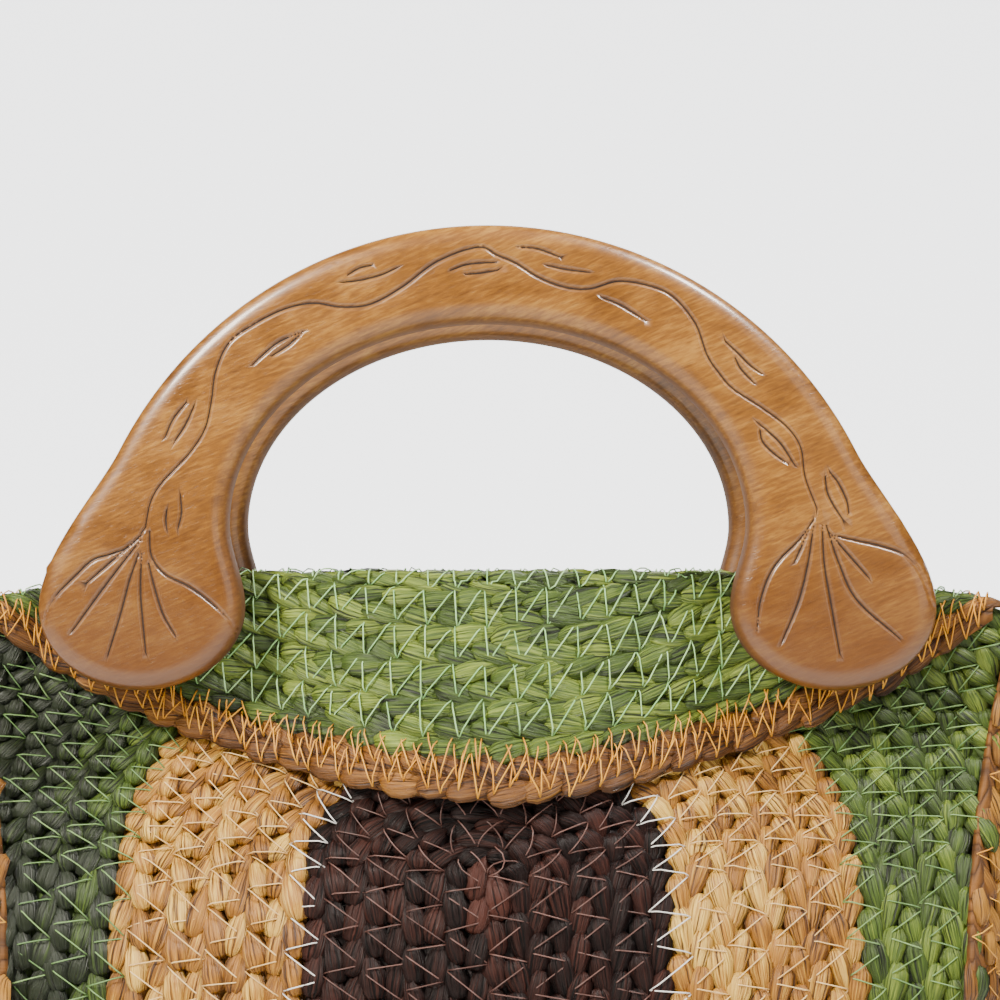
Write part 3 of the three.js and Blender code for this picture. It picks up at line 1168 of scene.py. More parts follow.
@dataclass
class Sheet:
    """The plaited wall under the leaves, a closed shell with a rib for each row."""

    surface: Surface
    inner: float = 0.2
    middle: float = 1.5
    swell: float = 0.5

    def mesh(self, along: Array, across: Array, rows: Array, side: Side, closed: bool) -> bpy.types.Mesh:
        """Makes the shell over a grid of places.

        Args:
            along: places along the rows, a grid.
            across: places across them, a grid.
            rows: the same as a count of rows, for the ribs and the finish.
            side: the side of the bag that it goes to.
            closed: whether the grid's first and last stations are the same.

        Returns:
            The shell's mesh.
        """
        height = self.middle + self.swell * np.cos(2 * np.pi * rows)
        outer = self.surface.lift(along, across, height)
        inner = self.surface.lift(along, across, np.full(along.shape, self.inner))
        shell = side.place(self.there_and_back(outer, inner)) * MM
        runs, counts = self.there_and_back(along, along), self.there_and_back(rows, rows)
        columns, lines = runs.shape
        work = bmesh.new()
        layer = work.loops.layers.uv.new("fibre")
        made = bmesh.ops.create_grid(work, x_segments=columns - 1, y_segments=lines - 1, size=1.0)
        corners = sorted(made["verts"], key=lambda v: (round(v.co.x, 6), round(v.co.y, 6)))
        marks = {}
        for vertex, place, run, row in zip(corners, shell.reshape(-1, 3), runs.ravel(), counts.ravel()):
            vertex.co = Vector(place)
            marks[vertex] = (run, row)
        for face in work.faces:
            face.smooth = True
            for loop in face.loops:
                loop[layer].uv = marks[loop.vert]
        bmesh.ops.remove_doubles(work, verts=work.verts, dist=1e-6)
        if not closed:
            bmesh.ops.holes_fill(work, edges=work.edges)
        bmesh.ops.recalc_face_normals(work, faces=work.faces)
        mesh = bpy.data.meshes.new("sheet")
        work.to_mesh(mesh)
        work.free()
        return mesh

    @staticmethod
    def there_and_back(out: Array, back: Array) -> Array:
        """Lays a grid and, behind it, another one backwards, and comes round to the start."""
        return np.concatenate([out, back[:, ::-1], out[:, :1]], axis=1)


def joined(name: str, leaves: bpy.types.Mesh, sheet: bpy.types.Mesh) -> bpy.types.Mesh:
    """Joins a heap of leaves and the sheet under it; the sheet takes the second finish.

    Args:
        name: the new mesh's name.
        leaves: the leaves, which keep the first finish.
        sheet: the wall under them.

    Returns:
        The joined mesh.
    """
    work = bmesh.new()
    work.from_mesh(leaves)
    count = len(work.faces)
    work.from_mesh(sheet)
    work.faces.ensure_lookup_table()
    for face in work.faces[count:]:
        face.material_index = 1
    mesh = bpy.data.meshes.new(name)
    work.to_mesh(mesh)
    work.free()
    for old in (leaves, sheet):
        bpy.data.meshes.remove(old)
    return mesh


def inside(points: Array, outline: Array) -> Array:
    """Tells which points lie within a closed outline.

    Args:
        points: the points in x and z.
        outline: the outline in x and z.

    Returns:
        True for each point inside.
    """
    px, pz = points[:, 0][:, None], points[:, 1][:, None]
    ax, az = outline.T
    bx, bz = np.roll(outline, -1, axis=0).T
    spans = (az[None] > pz) != (bz[None] > pz)
    slope = (bx - ax) / np.where(bz == az, 1e-9, bz - az)
    hits = spans & (px < (ax + (pz - az) * slope))
    return hits.sum(axis=1) % 2 == 1


def ray_reach(foot: Array, way: Array, outline: Array) -> Array:
    """Distances from places on the spine to a closed outline in given directions.

    Args:
        foot: heights on the spine.
        way: steps in x and z that the distances count.
        outline: the outline in x and z.

    Returns:
        The distances.
    """
    dx, dz = way[:, :1], way[:, 1:]
    ax, az = outline[:, 0][None], outline[:, 1][None] - foot[:, None]
    ex, ez = (np.roll(outline, -1, axis=0) - outline).T
    cross = dx * ez - dz * ex
    cross = np.where(np.abs(cross) < 1e-9, 1e-9, cross)
    reach = (ax * ez - az * ex) / cross
    share = (ax * dz - az * dx) / cross
    good = (reach > 0) & (share >= -1e-6) & (share <= 1 + 1e-6)
    return np.where(good, reach, 1e9).min(axis=1)


@dataclass
class Panel:
    """One coiled panel: brown core, natural rows and green rows, sewn row to row.

    The sewing gives, for each thread, its straw, its first joint and the joint before which it ends.
    """

    shape: BagShape
    seam: SeamLine
    palette: Palette
    side: Side
    plait: Plait = Plait()
    stitch: Stitch = Stitch()
    core_rows: float = 4.5
    natural_rows: float = 5.0
    green_rows: int = 7
    stations: int = 140
    lines_per_row: int = 4
    rim_margin: float = 2.4
    tucked: float = 14.0
    bud_leaves: int = 3
    bud_tone: float = 2.2
    left_shade_from: float = 70.0
    left_shade_over: float = 25.0
    left_shade_depth: float = 1.4
    green_shade: float = 0.15
    above_spine: float = 2.0
    below_spine: float = 3.0
    hole: float = 0.02
    thinnest: float = 2.0
    fewest_stitches: int = 6
    sewing_seed: int = 700
    sewing: tuple = (
        ("pink", Straw.BROWN, 0, 4),
        ("white", Straw.NATURAL, 4, 5),
        ("tan", Straw.NATURAL, 5, 9),
        ("moss", Straw.GREEN, 9, 16),
    )

    def __post_init__(self) -> None:
        """Works out the panel's edge."""
        self.rim = self.seam.polygon(self.shape.roll_radius + self.shape.gap)

    @property
    def natural_end(self) -> float:
        """Count of rows from the spine to the outside of the natural ones."""
        return self.core_rows + self.natural_rows

    def build(self) -> None:
        """Makes the three braids and their sewing."""
        self.braid("panel_core", Straw.BROWN, 0.0, self.core_rows)
        self.braid("panel_natural_rows", Straw.NATURAL, self.core_rows, self.natural_end)
        self.braid("panel_green_rows", Straw.GREEN, self.natural_end, self.natural_end + self.green_rows)
        for thread, straw, first, last in self.sewing:
            self.sew(thread, straw, first, last)

    def spots(self, ring: RingFace, places: Array, margin: float) -> tuple[Array, Array]:
        """Looks up places along a ring.

        Args:
            ring: the ring.
            places: places along it.
            margin: how far outside the ring's middle to look.

        Returns:
            The points, and whether each lies inside the panel's edge and not far up under the cuff.
        """
        points = ring.base(places, np.full(len(places), ring.distance + margin))
        top = self.shape.fold - self.shape.cuff_edge(points[:, 0]) + self.tucked
        return points, inside(points[:, [0, 2]], self.rim) & (points[:, 2] < top)

    def tones(self, points: Array, straw: Straw, rng: np.random.Generator) -> Array:
        """Shades of the leaves; the green leaves take a painted shade towards the left corner, where the
        bag lies in shadow.

        Args:
            points: places of the leaves.
            straw: their colour.
            rng: random draws.

        Returns:
            One shade for each leaf.
        """
        tones = rng.uniform(0, 1, len(points))
        if straw is Straw.GREEN:
            # painted shade: the green leaves get darker towards the left corner
            left = smooth((-points[:, 0] - self.left_shade_from) / self.left_shade_over)
            tones -= self.green_shade + self.left_shade_depth * left
        return tones

    def braid(self, node: str, straw: Straw, start: float, end: float) -> None:
        """Makes one colour band.

        Args:
            node: the CAD node that it stands for.
            straw: its colour.
            start: the row at which it starts.
            end: the row at which it ends.
        """
        rng = np.random.default_rng(len(node))
        heap = Heap()
        if start == 0.0:
            end_of_spine = self.shape.spine_length + self.below_spine
            places = self.plait.starts(-self.above_spine, end_of_spine, rng)
            tones = rng.uniform(0, 1, len(places))
            tones[: self.bud_leaves] = self.bud_tone
            for hand in (1, -1):
                turn = np.arange(len(places)) % 2 == (hand > 0)
                spine = SpineFace(self.shape)
                self.plait.lay(heap, spine, 0.0, places[turn], hand, rng, tones[turn])
        for row in range(max(1, round(start + 0.5)), round(end + 0.5)):
            ring = RingFace(self.shape, row * self.shape.pitch)
            places = self.plait.starts(0.0, ring.length, rng)
            tones = self.tones(self.spots(ring, places, 0.0)[0], straw, rng)
            for hand in (1, -1):
                kept = self.spots(ring, places, self.rim_margin * hand)[1]
                chosen = kept & (np.arange(len(places)) % 2 == (hand > 0))
                self.plait.lay(heap, ring, ring.distance, places[chosen], hand, rng, tones[chosen])
        mesh = joined(f"{self.side.value}_{node}", heap.mesh(node, self.side), self.wall(start, end))
        materials = [self.palette.straws[straw], self.palette.backs[straw]]
        name = f"{self.side.value}_{node}"
        finish_piece(name + "_braid", mesh, materials, name)

    def wall(self, start: float, end: float) -> bpy.types.Mesh:
        """Makes the wall under one colour band.

        Args:
            start: the row at which it starts.
            end: the row at which it ends.

        Returns:
            The wall's mesh.
        """
        pitch, gap = self.shape.pitch, self.shape.gap
        ring = RingFace(self.shape, end * pitch)
        run = np.linspace(0.0, ring.length, self.stations)
        foot, angle = ring.station(np.append(run[:-1], 0.0))
        inner = start * pitch + (gap / 2 if start else self.hole)
        limit = ray_reach(foot, self.shape.coil_way(angle), self.rim)
        outer = np.minimum(end * pitch - gap / 2, limit)
        keep = outer > inner + self.thinnest
        closed = bool(keep.all())
        if not closed:
            count = self.stations - 1
            order = (np.arange(count) + int(np.argmax(~keep))) % count
            order = order[keep[order]]
            run, outer = run[order], outer[order]
        share = np.linspace(0, 1, int((end - start) * self.lines_per_row))
        across = mix(inner, outer[:, None], share[None])
        along = np.broadcast_to(run[:, None] / ring.distance, across.shape)
        return Sheet(TurnFace(self.shape, ring)).mesh(along, across, across / pitch, self.side, closed)

    def sew(self, thread: str, straw: Straw, first: int, last: int) -> None:
        """Makes the zigzag sewing over some joints.

        Args:
            thread: the thread's colour.
            straw: not used.
            first: the first joint, counted outwards from the spine.
            last: the joint before which it ends.
        """
        rng = np.random.default_rng(self.sewing_seed + max(1, first))
        heap = Heap()
        for row in range(first, last):
            ring = RingFace(self.shape, (row + 0.5) * self.shape.pitch)
            count = max(self.fewest_stitches, int(ring.length / self.stitch.pitch))
            places = np.arange(count) * ring.length / count
            points, kept = self.spots(ring, places, self.stitch.reach)
            way = np.where(points[kept, 0] < 0, -1.0, 1.0)
            self.stitch.sew(heap, ring, ring.distance, places[kept], way, rng)
        name = f"{self.side.value}_panel_{thread}_stitches"
        finish_piece(name, heap.mesh(name, self.side), [self.palette.threads[thread]])


@dataclass
class Cuff:
    """The top of a panel folded outward: green rows and a rust row along the lower edge."""

    shape: BagShape
    palette: Palette
    side: Side
    plait: Plait = Plait(repeat=7.6, length=11.5, width=5.4, height=1.25, rise=0.9)
    stitch: Stitch = Stitch(pitch=6.3, reach=3.9, lean=0.12, radius=0.17, level=3.75)
    edging: Stitch = Stitch(pitch=3.5, reach=3.4, lean=0.35, radius=0.17, level=4.1, stray=0.7)
    rust_edge_painted_shade: float = 0.4
    row_light_and_shade: float = 0.12
    mean_row: int = 3
    shade_from: float = 20.0
    shade_over: float = 70.0
    rows: int = 8
    stations: int = 110
    edge_lines: int = 6
    body_lines: int = 34
    leaf_room: float = 1.0
    thinnest: float = 1.5
    end_room: float = 2.0
    braid_seed: int = 90
    sewing_seed: int = 800

    def build(self) -> None:
        """Makes the two braids and their sewing."""
        face = CuffFace(self.shape)
        self.braid(face, "cuff_rust_edge", Straw.RUST, 0, 1)
        self.braid(face, "cuff_green_rows", Straw.GREEN, 1, self.rows)
        self.sew(face, "mint", Straw.GREEN, self.stitch, list(range(2, self.rows)))
        self.sew(face, "gold", Straw.RUST, self.edging, [0.5, 0.95])

    def reach(self, x: Array) -> Array:
        """Length from the lower edge over the roll to the inner side."""
        s = self.shape
        return s.cuff_edge(x) - s.roll_end(x) + math.pi * s.roll_radius

    def braid(self, face: CuffFace, node: str, straw: Straw, first: int, last: int) -> None:
        """Makes one colour of the cuff.

        Args:
            face: the cuff's surface.
            node: the CAD node that it stands for.
            straw: its colour.
            first: its first row, counted from the lower edge.
            last: the row before which it ends.
        """
        s = self.shape
        rng = np.random.default_rng(self.braid_seed + len(node))
        heap = Heap()
        for row in range(first, last):
            middle = (row + 0.5) * s.cuff_pitch
            places = self.plait.starts(-s.cuff_half_width, s.cuff_half_width, rng)
            fits = middle < self.reach(places) - self.leaf_room
            tones = rng.uniform(0, 1, len(places))
            if straw is Straw.GREEN:
                # painted light and shade: at the left, rows above the middle one are lighter and rows
                # below it darker
                left = smooth((self.shade_from - places) / self.shade_over)
                tones += self.row_light_and_shade * (row - self.mean_row) * left
            else:
                # painted shade: the rust row along the cuff's lower edge is darkened
                tones -= self.rust_edge_painted_shade
            for hand in (1, -1):
                turn = np.arange(len(places)) % 2 == (hand > 0)
                chosen = turn & fits
                self.plait.lay(heap, face, middle, places[chosen], hand, rng, tones[chosen], -1.0)
        x = np.linspace(-s.cuff_half_width, s.cuff_half_width, self.stations)
        low = np.minimum(first * s.cuff_pitch, self.reach(x) - self.thinnest)
        high = self.reach(x) if last > 1 else np.minimum(s.cuff_pitch, self.reach(x) - self.leaf_room)
        share = np.linspace(0, 1, self.edge_lines if last == 1 else self.body_lines)
        across = mix(low[:, None], high[:, None], share[None])
        along = np.broadcast_to(x[:, None], across.shape)
        wall = Sheet(face).mesh(along, across, across / s.cuff_pitch + 0.5, self.side, False)
        name = f"{self.side.value}_{node}"
        mesh = joined(name, heap.mesh(node, self.side), wall)
        materials = [self.palette.straws[straw], self.palette.backs[straw]]
        finish_piece(name + "_braid", mesh, materials, name)

    def sew(self, face: CuffFace, thread: str, straw: Straw, stitch: Stitch, joints: list) -> None:
        """Sews along some joints.

        Args:
            face: the cuff's surface.
            thread: the thread's colour.
            straw: not used.
            stitch: the kind of sewing.
            joints: the joints, as counts of rows from the lower edge.
        """
        s = self.shape
        rng = np.random.default_rng(self.sewing_seed + len(thread))
        heap = Heap()
        for joint in joints:
            line = joint * s.cuff_pitch
            half = s.cuff_half_width - self.end_room
            places = np.arange(-half, half, stitch.pitch)
            places = places[line + self.leaf_room < self.reach(places)]
            stitch.sew(heap, face, line, places, np.ones(len(places)), rng)
        name = f"{self.side.value}_cuff_{thread}_stitches"
        finish_piece(name, heap.mesh(name, self.side), [self.palette.threads[thread]])


@dataclass
class Gusset:
    """The rust strip down both sides and under the base."""

    shape: BagShape
    seam: SeamLine
    palette: Palette
    plait: Plait = Plait(repeat=8.0, height=1.25, bed=1.0, rings=5, round=8)
    stitch: Stitch = Stitch(pitch=8.0, level=3.25, steps=4)
    tones: tuple[float, float] = (0.3, 1.4)
    stations: int = 220
    lines: int = 34
    end_room: float = 1.0
    edge_room: float = 1.5
    sewing_room: float = 2.0
    seed: int = 33

    def build(self) -> None:
        """Makes the strip and its sewing."""
        face = GussetFace(self.shape, self.seam)
        pitch, total = self.shape.pitch, 2 * self.seam.half_length
        rng = np.random.default_rng(self.seed)
        leaves, thread = Heap(), Heap()
        widths = np.concatenate([face.half_width, face.half_width[::-1]])
        runs = np.linspace(0, total, len(widths))
        count = int(face.half_width.max() / pitch) + 1
        for row in range(-count, count + 1):
            places = self.plait.starts(self.end_room, total - self.end_room, rng)
            fits = np.abs(row * pitch) < np.interp(places, runs, widths) - self.edge_room
            for hand in (1, -1):
                turn = np.arange(len(places)) % 2 == (hand > 0)
                chosen = places[turn & fits]
                tones = rng.uniform(*self.tones, len(chosen))
                self.plait.lay(leaves, face, row * pitch, chosen, hand, rng, tones)
            joint = (row + 0.5) * pitch
            places = np.arange(self.sewing_room, total - self.sewing_room, self.stitch.pitch)
            places = places[np.abs(joint) + self.sewing_room < np.interp(places, runs, widths)]
            self.stitch.sew(thread, face, joint, places, np.ones(len(places)), rng)
        run = np.linspace(0.0, total, self.stations)
        half = np.interp(run, runs, widths)
        across = half[:, None] * np.linspace(-1, 1, self.lines)[None]
        along = np.broadcast_to(run[:, None], across.shape)
        wall = Sheet(face).mesh(along, across, across / pitch, Side.FRONT, False)
        mesh = joined("gusset_braid", leaves.mesh("gusset_leaves", Side.FRONT), wall)
        materials = [self.palette.straws[Straw.RUST], self.palette.backs[Straw.RUST]]
        finish_piece("gusset_braid", mesh, materials, "gusset")
        sewing = thread.mesh("gusset_stitches", Side.FRONT)
        finish_piece("gusset_stitches", sewing, [self.palette.threads["gold"]])


@dataclass
class Handle:
    """A carved wooden arch with two round paddles.

    Groove lines count half widths of a groove, edge rings millimetres inside the outline.
    """

    shape: BagShape
    palette: Palette
    side: Side
    near: float
    far: float
    rise: float
    drop: float
    half_width: float
    round: float = 3.0
    arch_band: float = 20.4
    arch_outer_radius: float = 87.5
    arch_outer_end: float = 27.0
    opening_half_width: float = 55.2
    opening_spring: float = 10.0
    paddle_half_width: float = 21.5
    paddle_half_height: float = 17.6
    round_reach: float = 4.6
    groove_depth: float = 0.6
    groove_half_width: float = 0.42
    groove_sharpness: float = 1.4
    lip_height: float = 0.12
    lip_place: float = 1.8
    lip_sharpness: float = 4.0
    edge_rings: tuple = (0.25, 0.7, 1.3, 2.1, 3.0, 3.8, 4.6)
    groove_lines: tuple = (-2.2, -1.3, -0.7, 0.0, 0.7, 1.3, 2.2)
    cell: float = 2.0
    cell_room: float = 1.1
    edge_room: float = 0.15
    finest: float = 0.12
    flare: float = 9.0
    shoulder: float = 11.0
    neck: float = 6.0
    wall_end: float = 0.9
    bend_points: int = 14

    def arc(self, cx: float, cz: float, rx: float, rz: float, start: float, end: float,
            step: float = 1.4) -> Array:
        """Points on an ellipse, evenly spread, without the last one.

        Args:
            cx: the middle's x.
            cz: the middle's z.
            rx: radius in x.
            rz: radius in z.
            start: the first direction.
            end: the last direction.
            step: about how far apart the points lie.

        Returns:
            The points in x and z.
        """
        count = max(4, int(abs(end - start) * max(rx, rz) / step))
        angle = np.linspace(start, end, count, endpoint=False)
        return np.column_stack([cx + rx * np.cos(angle), cz + rz * np.sin(angle)])

    def bend(self, *corners: tuple[float, float]) -> Array:
        """Points on a cubic curve, without the last one.

        Args:
            corners: the curve's four control points.

        Returns:
            The points in x and z.
        """
        t = np.linspace(0, 1, self.bend_points, endpoint=False)[:, None]
        a, b, c, d = (np.array(corner) for corner in corners)
        return a * (1 - t) ** 3 + 3 * b * t * (1 - t) ** 2 + 3 * c * t * t * (1 - t) + d * t**3

    def outline(self) -> Array:
        """Draws the handle's outline, from the arch's top clockwise.

        Returns:
            The points in x and z.
        """
        fold = self.shape.fold
        top = fold + self.rise
        centre = top - self.arch_outer_radius
        end = math.radians(self.arch_outer_end)
        paddle_x = self.half_width - self.paddle_half_width
        paddle_z = fold - self.drop + self.paddle_half_height
        flare_x = self.arch_outer_radius * math.cos(end)
        flare_z = centre + self.arch_outer_radius * math.sin(end)
        inner_x = self.half_width - 2 * self.paddle_half_width
        spring = fold + self.opening_spring
        rise = self.rise - self.arch_band - self.opening_spring
        flared = flare_x + self.flare * math.sin(end), flare_z - self.flare * math.cos(end)
        half = np.vstack([
            self.arc(0, centre, self.arch_outer_radius, self.arch_outer_radius, math.pi / 2, end),
            self.bend((flare_x, flare_z), flared,
                      (self.half_width, paddle_z + self.shoulder), (self.half_width, paddle_z)),
            self.arc(paddle_x, paddle_z, self.paddle_half_width, self.paddle_half_height, 0, -math.pi),
            self.bend((inner_x, paddle_z), (inner_x, paddle_z + self.neck),
                      (self.opening_half_width, spring - self.neck), (self.opening_half_width, spring)),
            self.arc(0, spring, self.opening_half_width, rise, 0, math.pi / 2),
            [[0.0, spring + rise]],
        ])
        mirrored = half[1:-1][::-1] * np.array([-1.0, 1.0])
        return np.vstack([half, mirrored])

    def build(self) -> None:
        """Makes the handle with its carving."""
        outline = self.outline()
        mesh = self.body(outline, Carving(self.shape).strokes())
        name = f"{self.side.value}_handle"
        finish_piece(name + "_carved", mesh, [self.palette.wood], name)

    def body(self, outline: Array, strokes: list[Array]) -> bpy.types.Mesh:
        """Makes the whole handle: carved front, plain back and rounded rim.

        Args:
            outline: the outline in x and z.
            strokes: the carved lines in x and z.

        Returns:
            The mesh, in metres and in place.
        """
        placed, joins, cuts, walls = [], [], [], []
        offset = 0
        middle, half = (self.near + self.far) / 2, (self.far - self.near) / 2
        for sign, lines in ((-1.0, strokes), (1.0, [])):
            points, faces, depth, cut = self.flat_face(outline, lines)
            y = middle + sign * (half - self.round + depth - self.groove_depth * cut)
            placed.append(np.column_stack([points[:, 0], y, points[:, 1]]))
            joins.append(faces + offset)
            cuts.append(cut)
            walls.append(self.matt_and_shaded_share(points, depth))
            offset += len(points)
        first = np.arange(len(outline))
        second = first + len(placed[0])
        rim = [first, second, np.roll(second, -1)], [first, np.roll(second, -1), np.roll(first, -1)]
        joins += [np.column_stack(corners) for corners in rim]
        work = bmesh.new()
        carved = work.verts.layers.float.new("carved")
        wall_layer = work.verts.layers.float.new("wall")
        vertices = [work.verts.new(point) for point in self.side.place(np.vstack(placed)) * MM]
        for vertex, cut, share in zip(vertices, np.concatenate(cuts), np.concatenate(walls)):
            vertex[carved] = max(0.0, cut)
            vertex[wall_layer] = share
        for corners in np.vstack(joins):
            work.faces.new([vertices[corner] for corner in corners]).smooth = True
        bmesh.ops.recalc_face_normals(work, faces=work.faces)
        mesh = bpy.data.meshes.new(f"{self.side.value}_handle_carved")
        work.to_mesh(mesh)
        work.free()
        return mesh

    def matt_and_shaded_share(self, points: Array, depth: Array) -> Array:
        """Tells how far each point belongs to the wall of the hand opening, which is matt and unpolished
        and takes a painted shade.

        Args:
            points: the points in x and z.
            depth: how far the face stands out at each.

        Returns:
            Shares, 1 on the wall.
        """
        centre = self.shape.fold + self.opening_spring
        rise = self.rise - self.arch_band - self.opening_spring
        x = points[:, 0] / (self.opening_half_width + self.round_reach)
        z = np.maximum(0.0, points[:, 1] - centre) / (rise + self.round_reach)
        within = np.hypot(x, z) < 1.0
        return np.where(within, 1.0 - smooth(depth / self.round / self.wall_end), 0.0)

    def flat_face(self, outline: Array, lines: list[Array]) -> tuple[Array, Array, Array, Array]:
        """Triangulates the outline finely near its edge and near the carved lines.

        Args:
            outline: the outline in x and z, whose points come first in the result.
            lines: the carved lines.

        Returns:
            Points, triangles, how far the face stands out at each point, and the share of the
            groove's depth.
        """
        normals = np.roll(outline, -1, axis=0) - np.roll(outline, 1, axis=0)
        normals /= np.linalg.norm(normals, axis=1, keepdims=True)
        inward = np.column_stack([normals[:, 1], -normals[:, 0]])
        if not inside(outline[:1] + inward[:1], outline)[0]:
            inward = -inward
        rings = [outline + inward * distance for distance in self.edge_rings]
        extra = []
        for line in lines:
            run = np.gradient(line[:, :2], axis=0)
            run /= np.linalg.norm(run, axis=1, keepdims=True)
            across = np.column_stack([-run[:, 1], run[:, 0]])
            for aside in self.groove_lines:
                extra.append(line[:, :2] + across[:, :2] * (aside * self.groove_half_width))
        low, high = outline.min(0), outline.max(0)
        gx, gz = np.meshgrid(*(np.arange(low[i], high[i], self.cell) for i in range(2)))
        grid = np.column_stack([gx.ravel(), gz.ravel()])
        inner = np.vstack([*rings, *extra]) if extra else np.vstack(rings)
        grid = grid[self.distance(grid, [inner]) > self.cell_room]
        loose = np.vstack([inner, grid])
        loose = loose[inside(loose, outline) & (self.distance(loose, [outline]) > self.edge_room)]
        keys = np.unique(np.round(loose / self.finest).astype(int), axis=0, return_index=True)[1]
        loose = loose[np.sort(keys)]
        points = np.vstack([outline, loose])
        count = len(outline)
        edges = [(i, (i + 1) % count) for i in range(count)]
        made = delaunay_2d_cdt([Vector(p) for p in points], edges, [list(range(count))], 1, 1e-7)
        verts, faces = np.array([v[:] for v in made[0]]), np.array([f[:] for f in made[2]])
        assert np.allclose(verts[:count], outline, atol=1e-3), "the outline's points come first"
        area = np.cross(verts[faces[:, 1]] - verts[faces[:, 0]], verts[faces[:, 2]] - verts[faces[:, 0]])
        faces[area < 0] = faces[area < 0][:, ::-1]
        away = np.minimum(self.distance(verts, [outline]) / self.round_reach, 1.0)
        depth = self.round * np.sqrt(np.maximum(0.0, 1 - (1 - away) ** 2))
        depth[:count] = 0.0
        cut = np.zeros(len(verts))
        if lines:
            near = self.distance(verts, lines) / self.groove_half_width
            lip = self.lip_height * np.exp(-((near - self.lip_place) ** 2) * self.lip_sharpness)
            cut = (np.exp(-(near**2) * self.groove_sharpness) - lip) * away
        return verts, faces, depth, cut

    @staticmethod
    def distance(points: Array, lines: list[Array], block: int = 2000) -> Array:
        """Shortest distance from each point to sampled lines, over the line's width if it has one.

        Args:
            points: the points in x and z.
            lines: points in x and z, with the width as a third number where there is one.
            block: how many points are worked out at once.

        Returns:
            The distances.
        """
        marks = np.vstack(lines)
        width = marks[:, 2] if marks.shape[1] > 2 else 1.0
        best = np.empty(len(points))
        for start in range(0, len(points), block):
            part = points[start:start + block]
            gap = np.hypot(part[:, None, 0] - marks[None, :, 0], part[:, None, 1] - marks[None, :, 1])
            best[start:start + block] = (gap / width).min(axis=1)
        return best


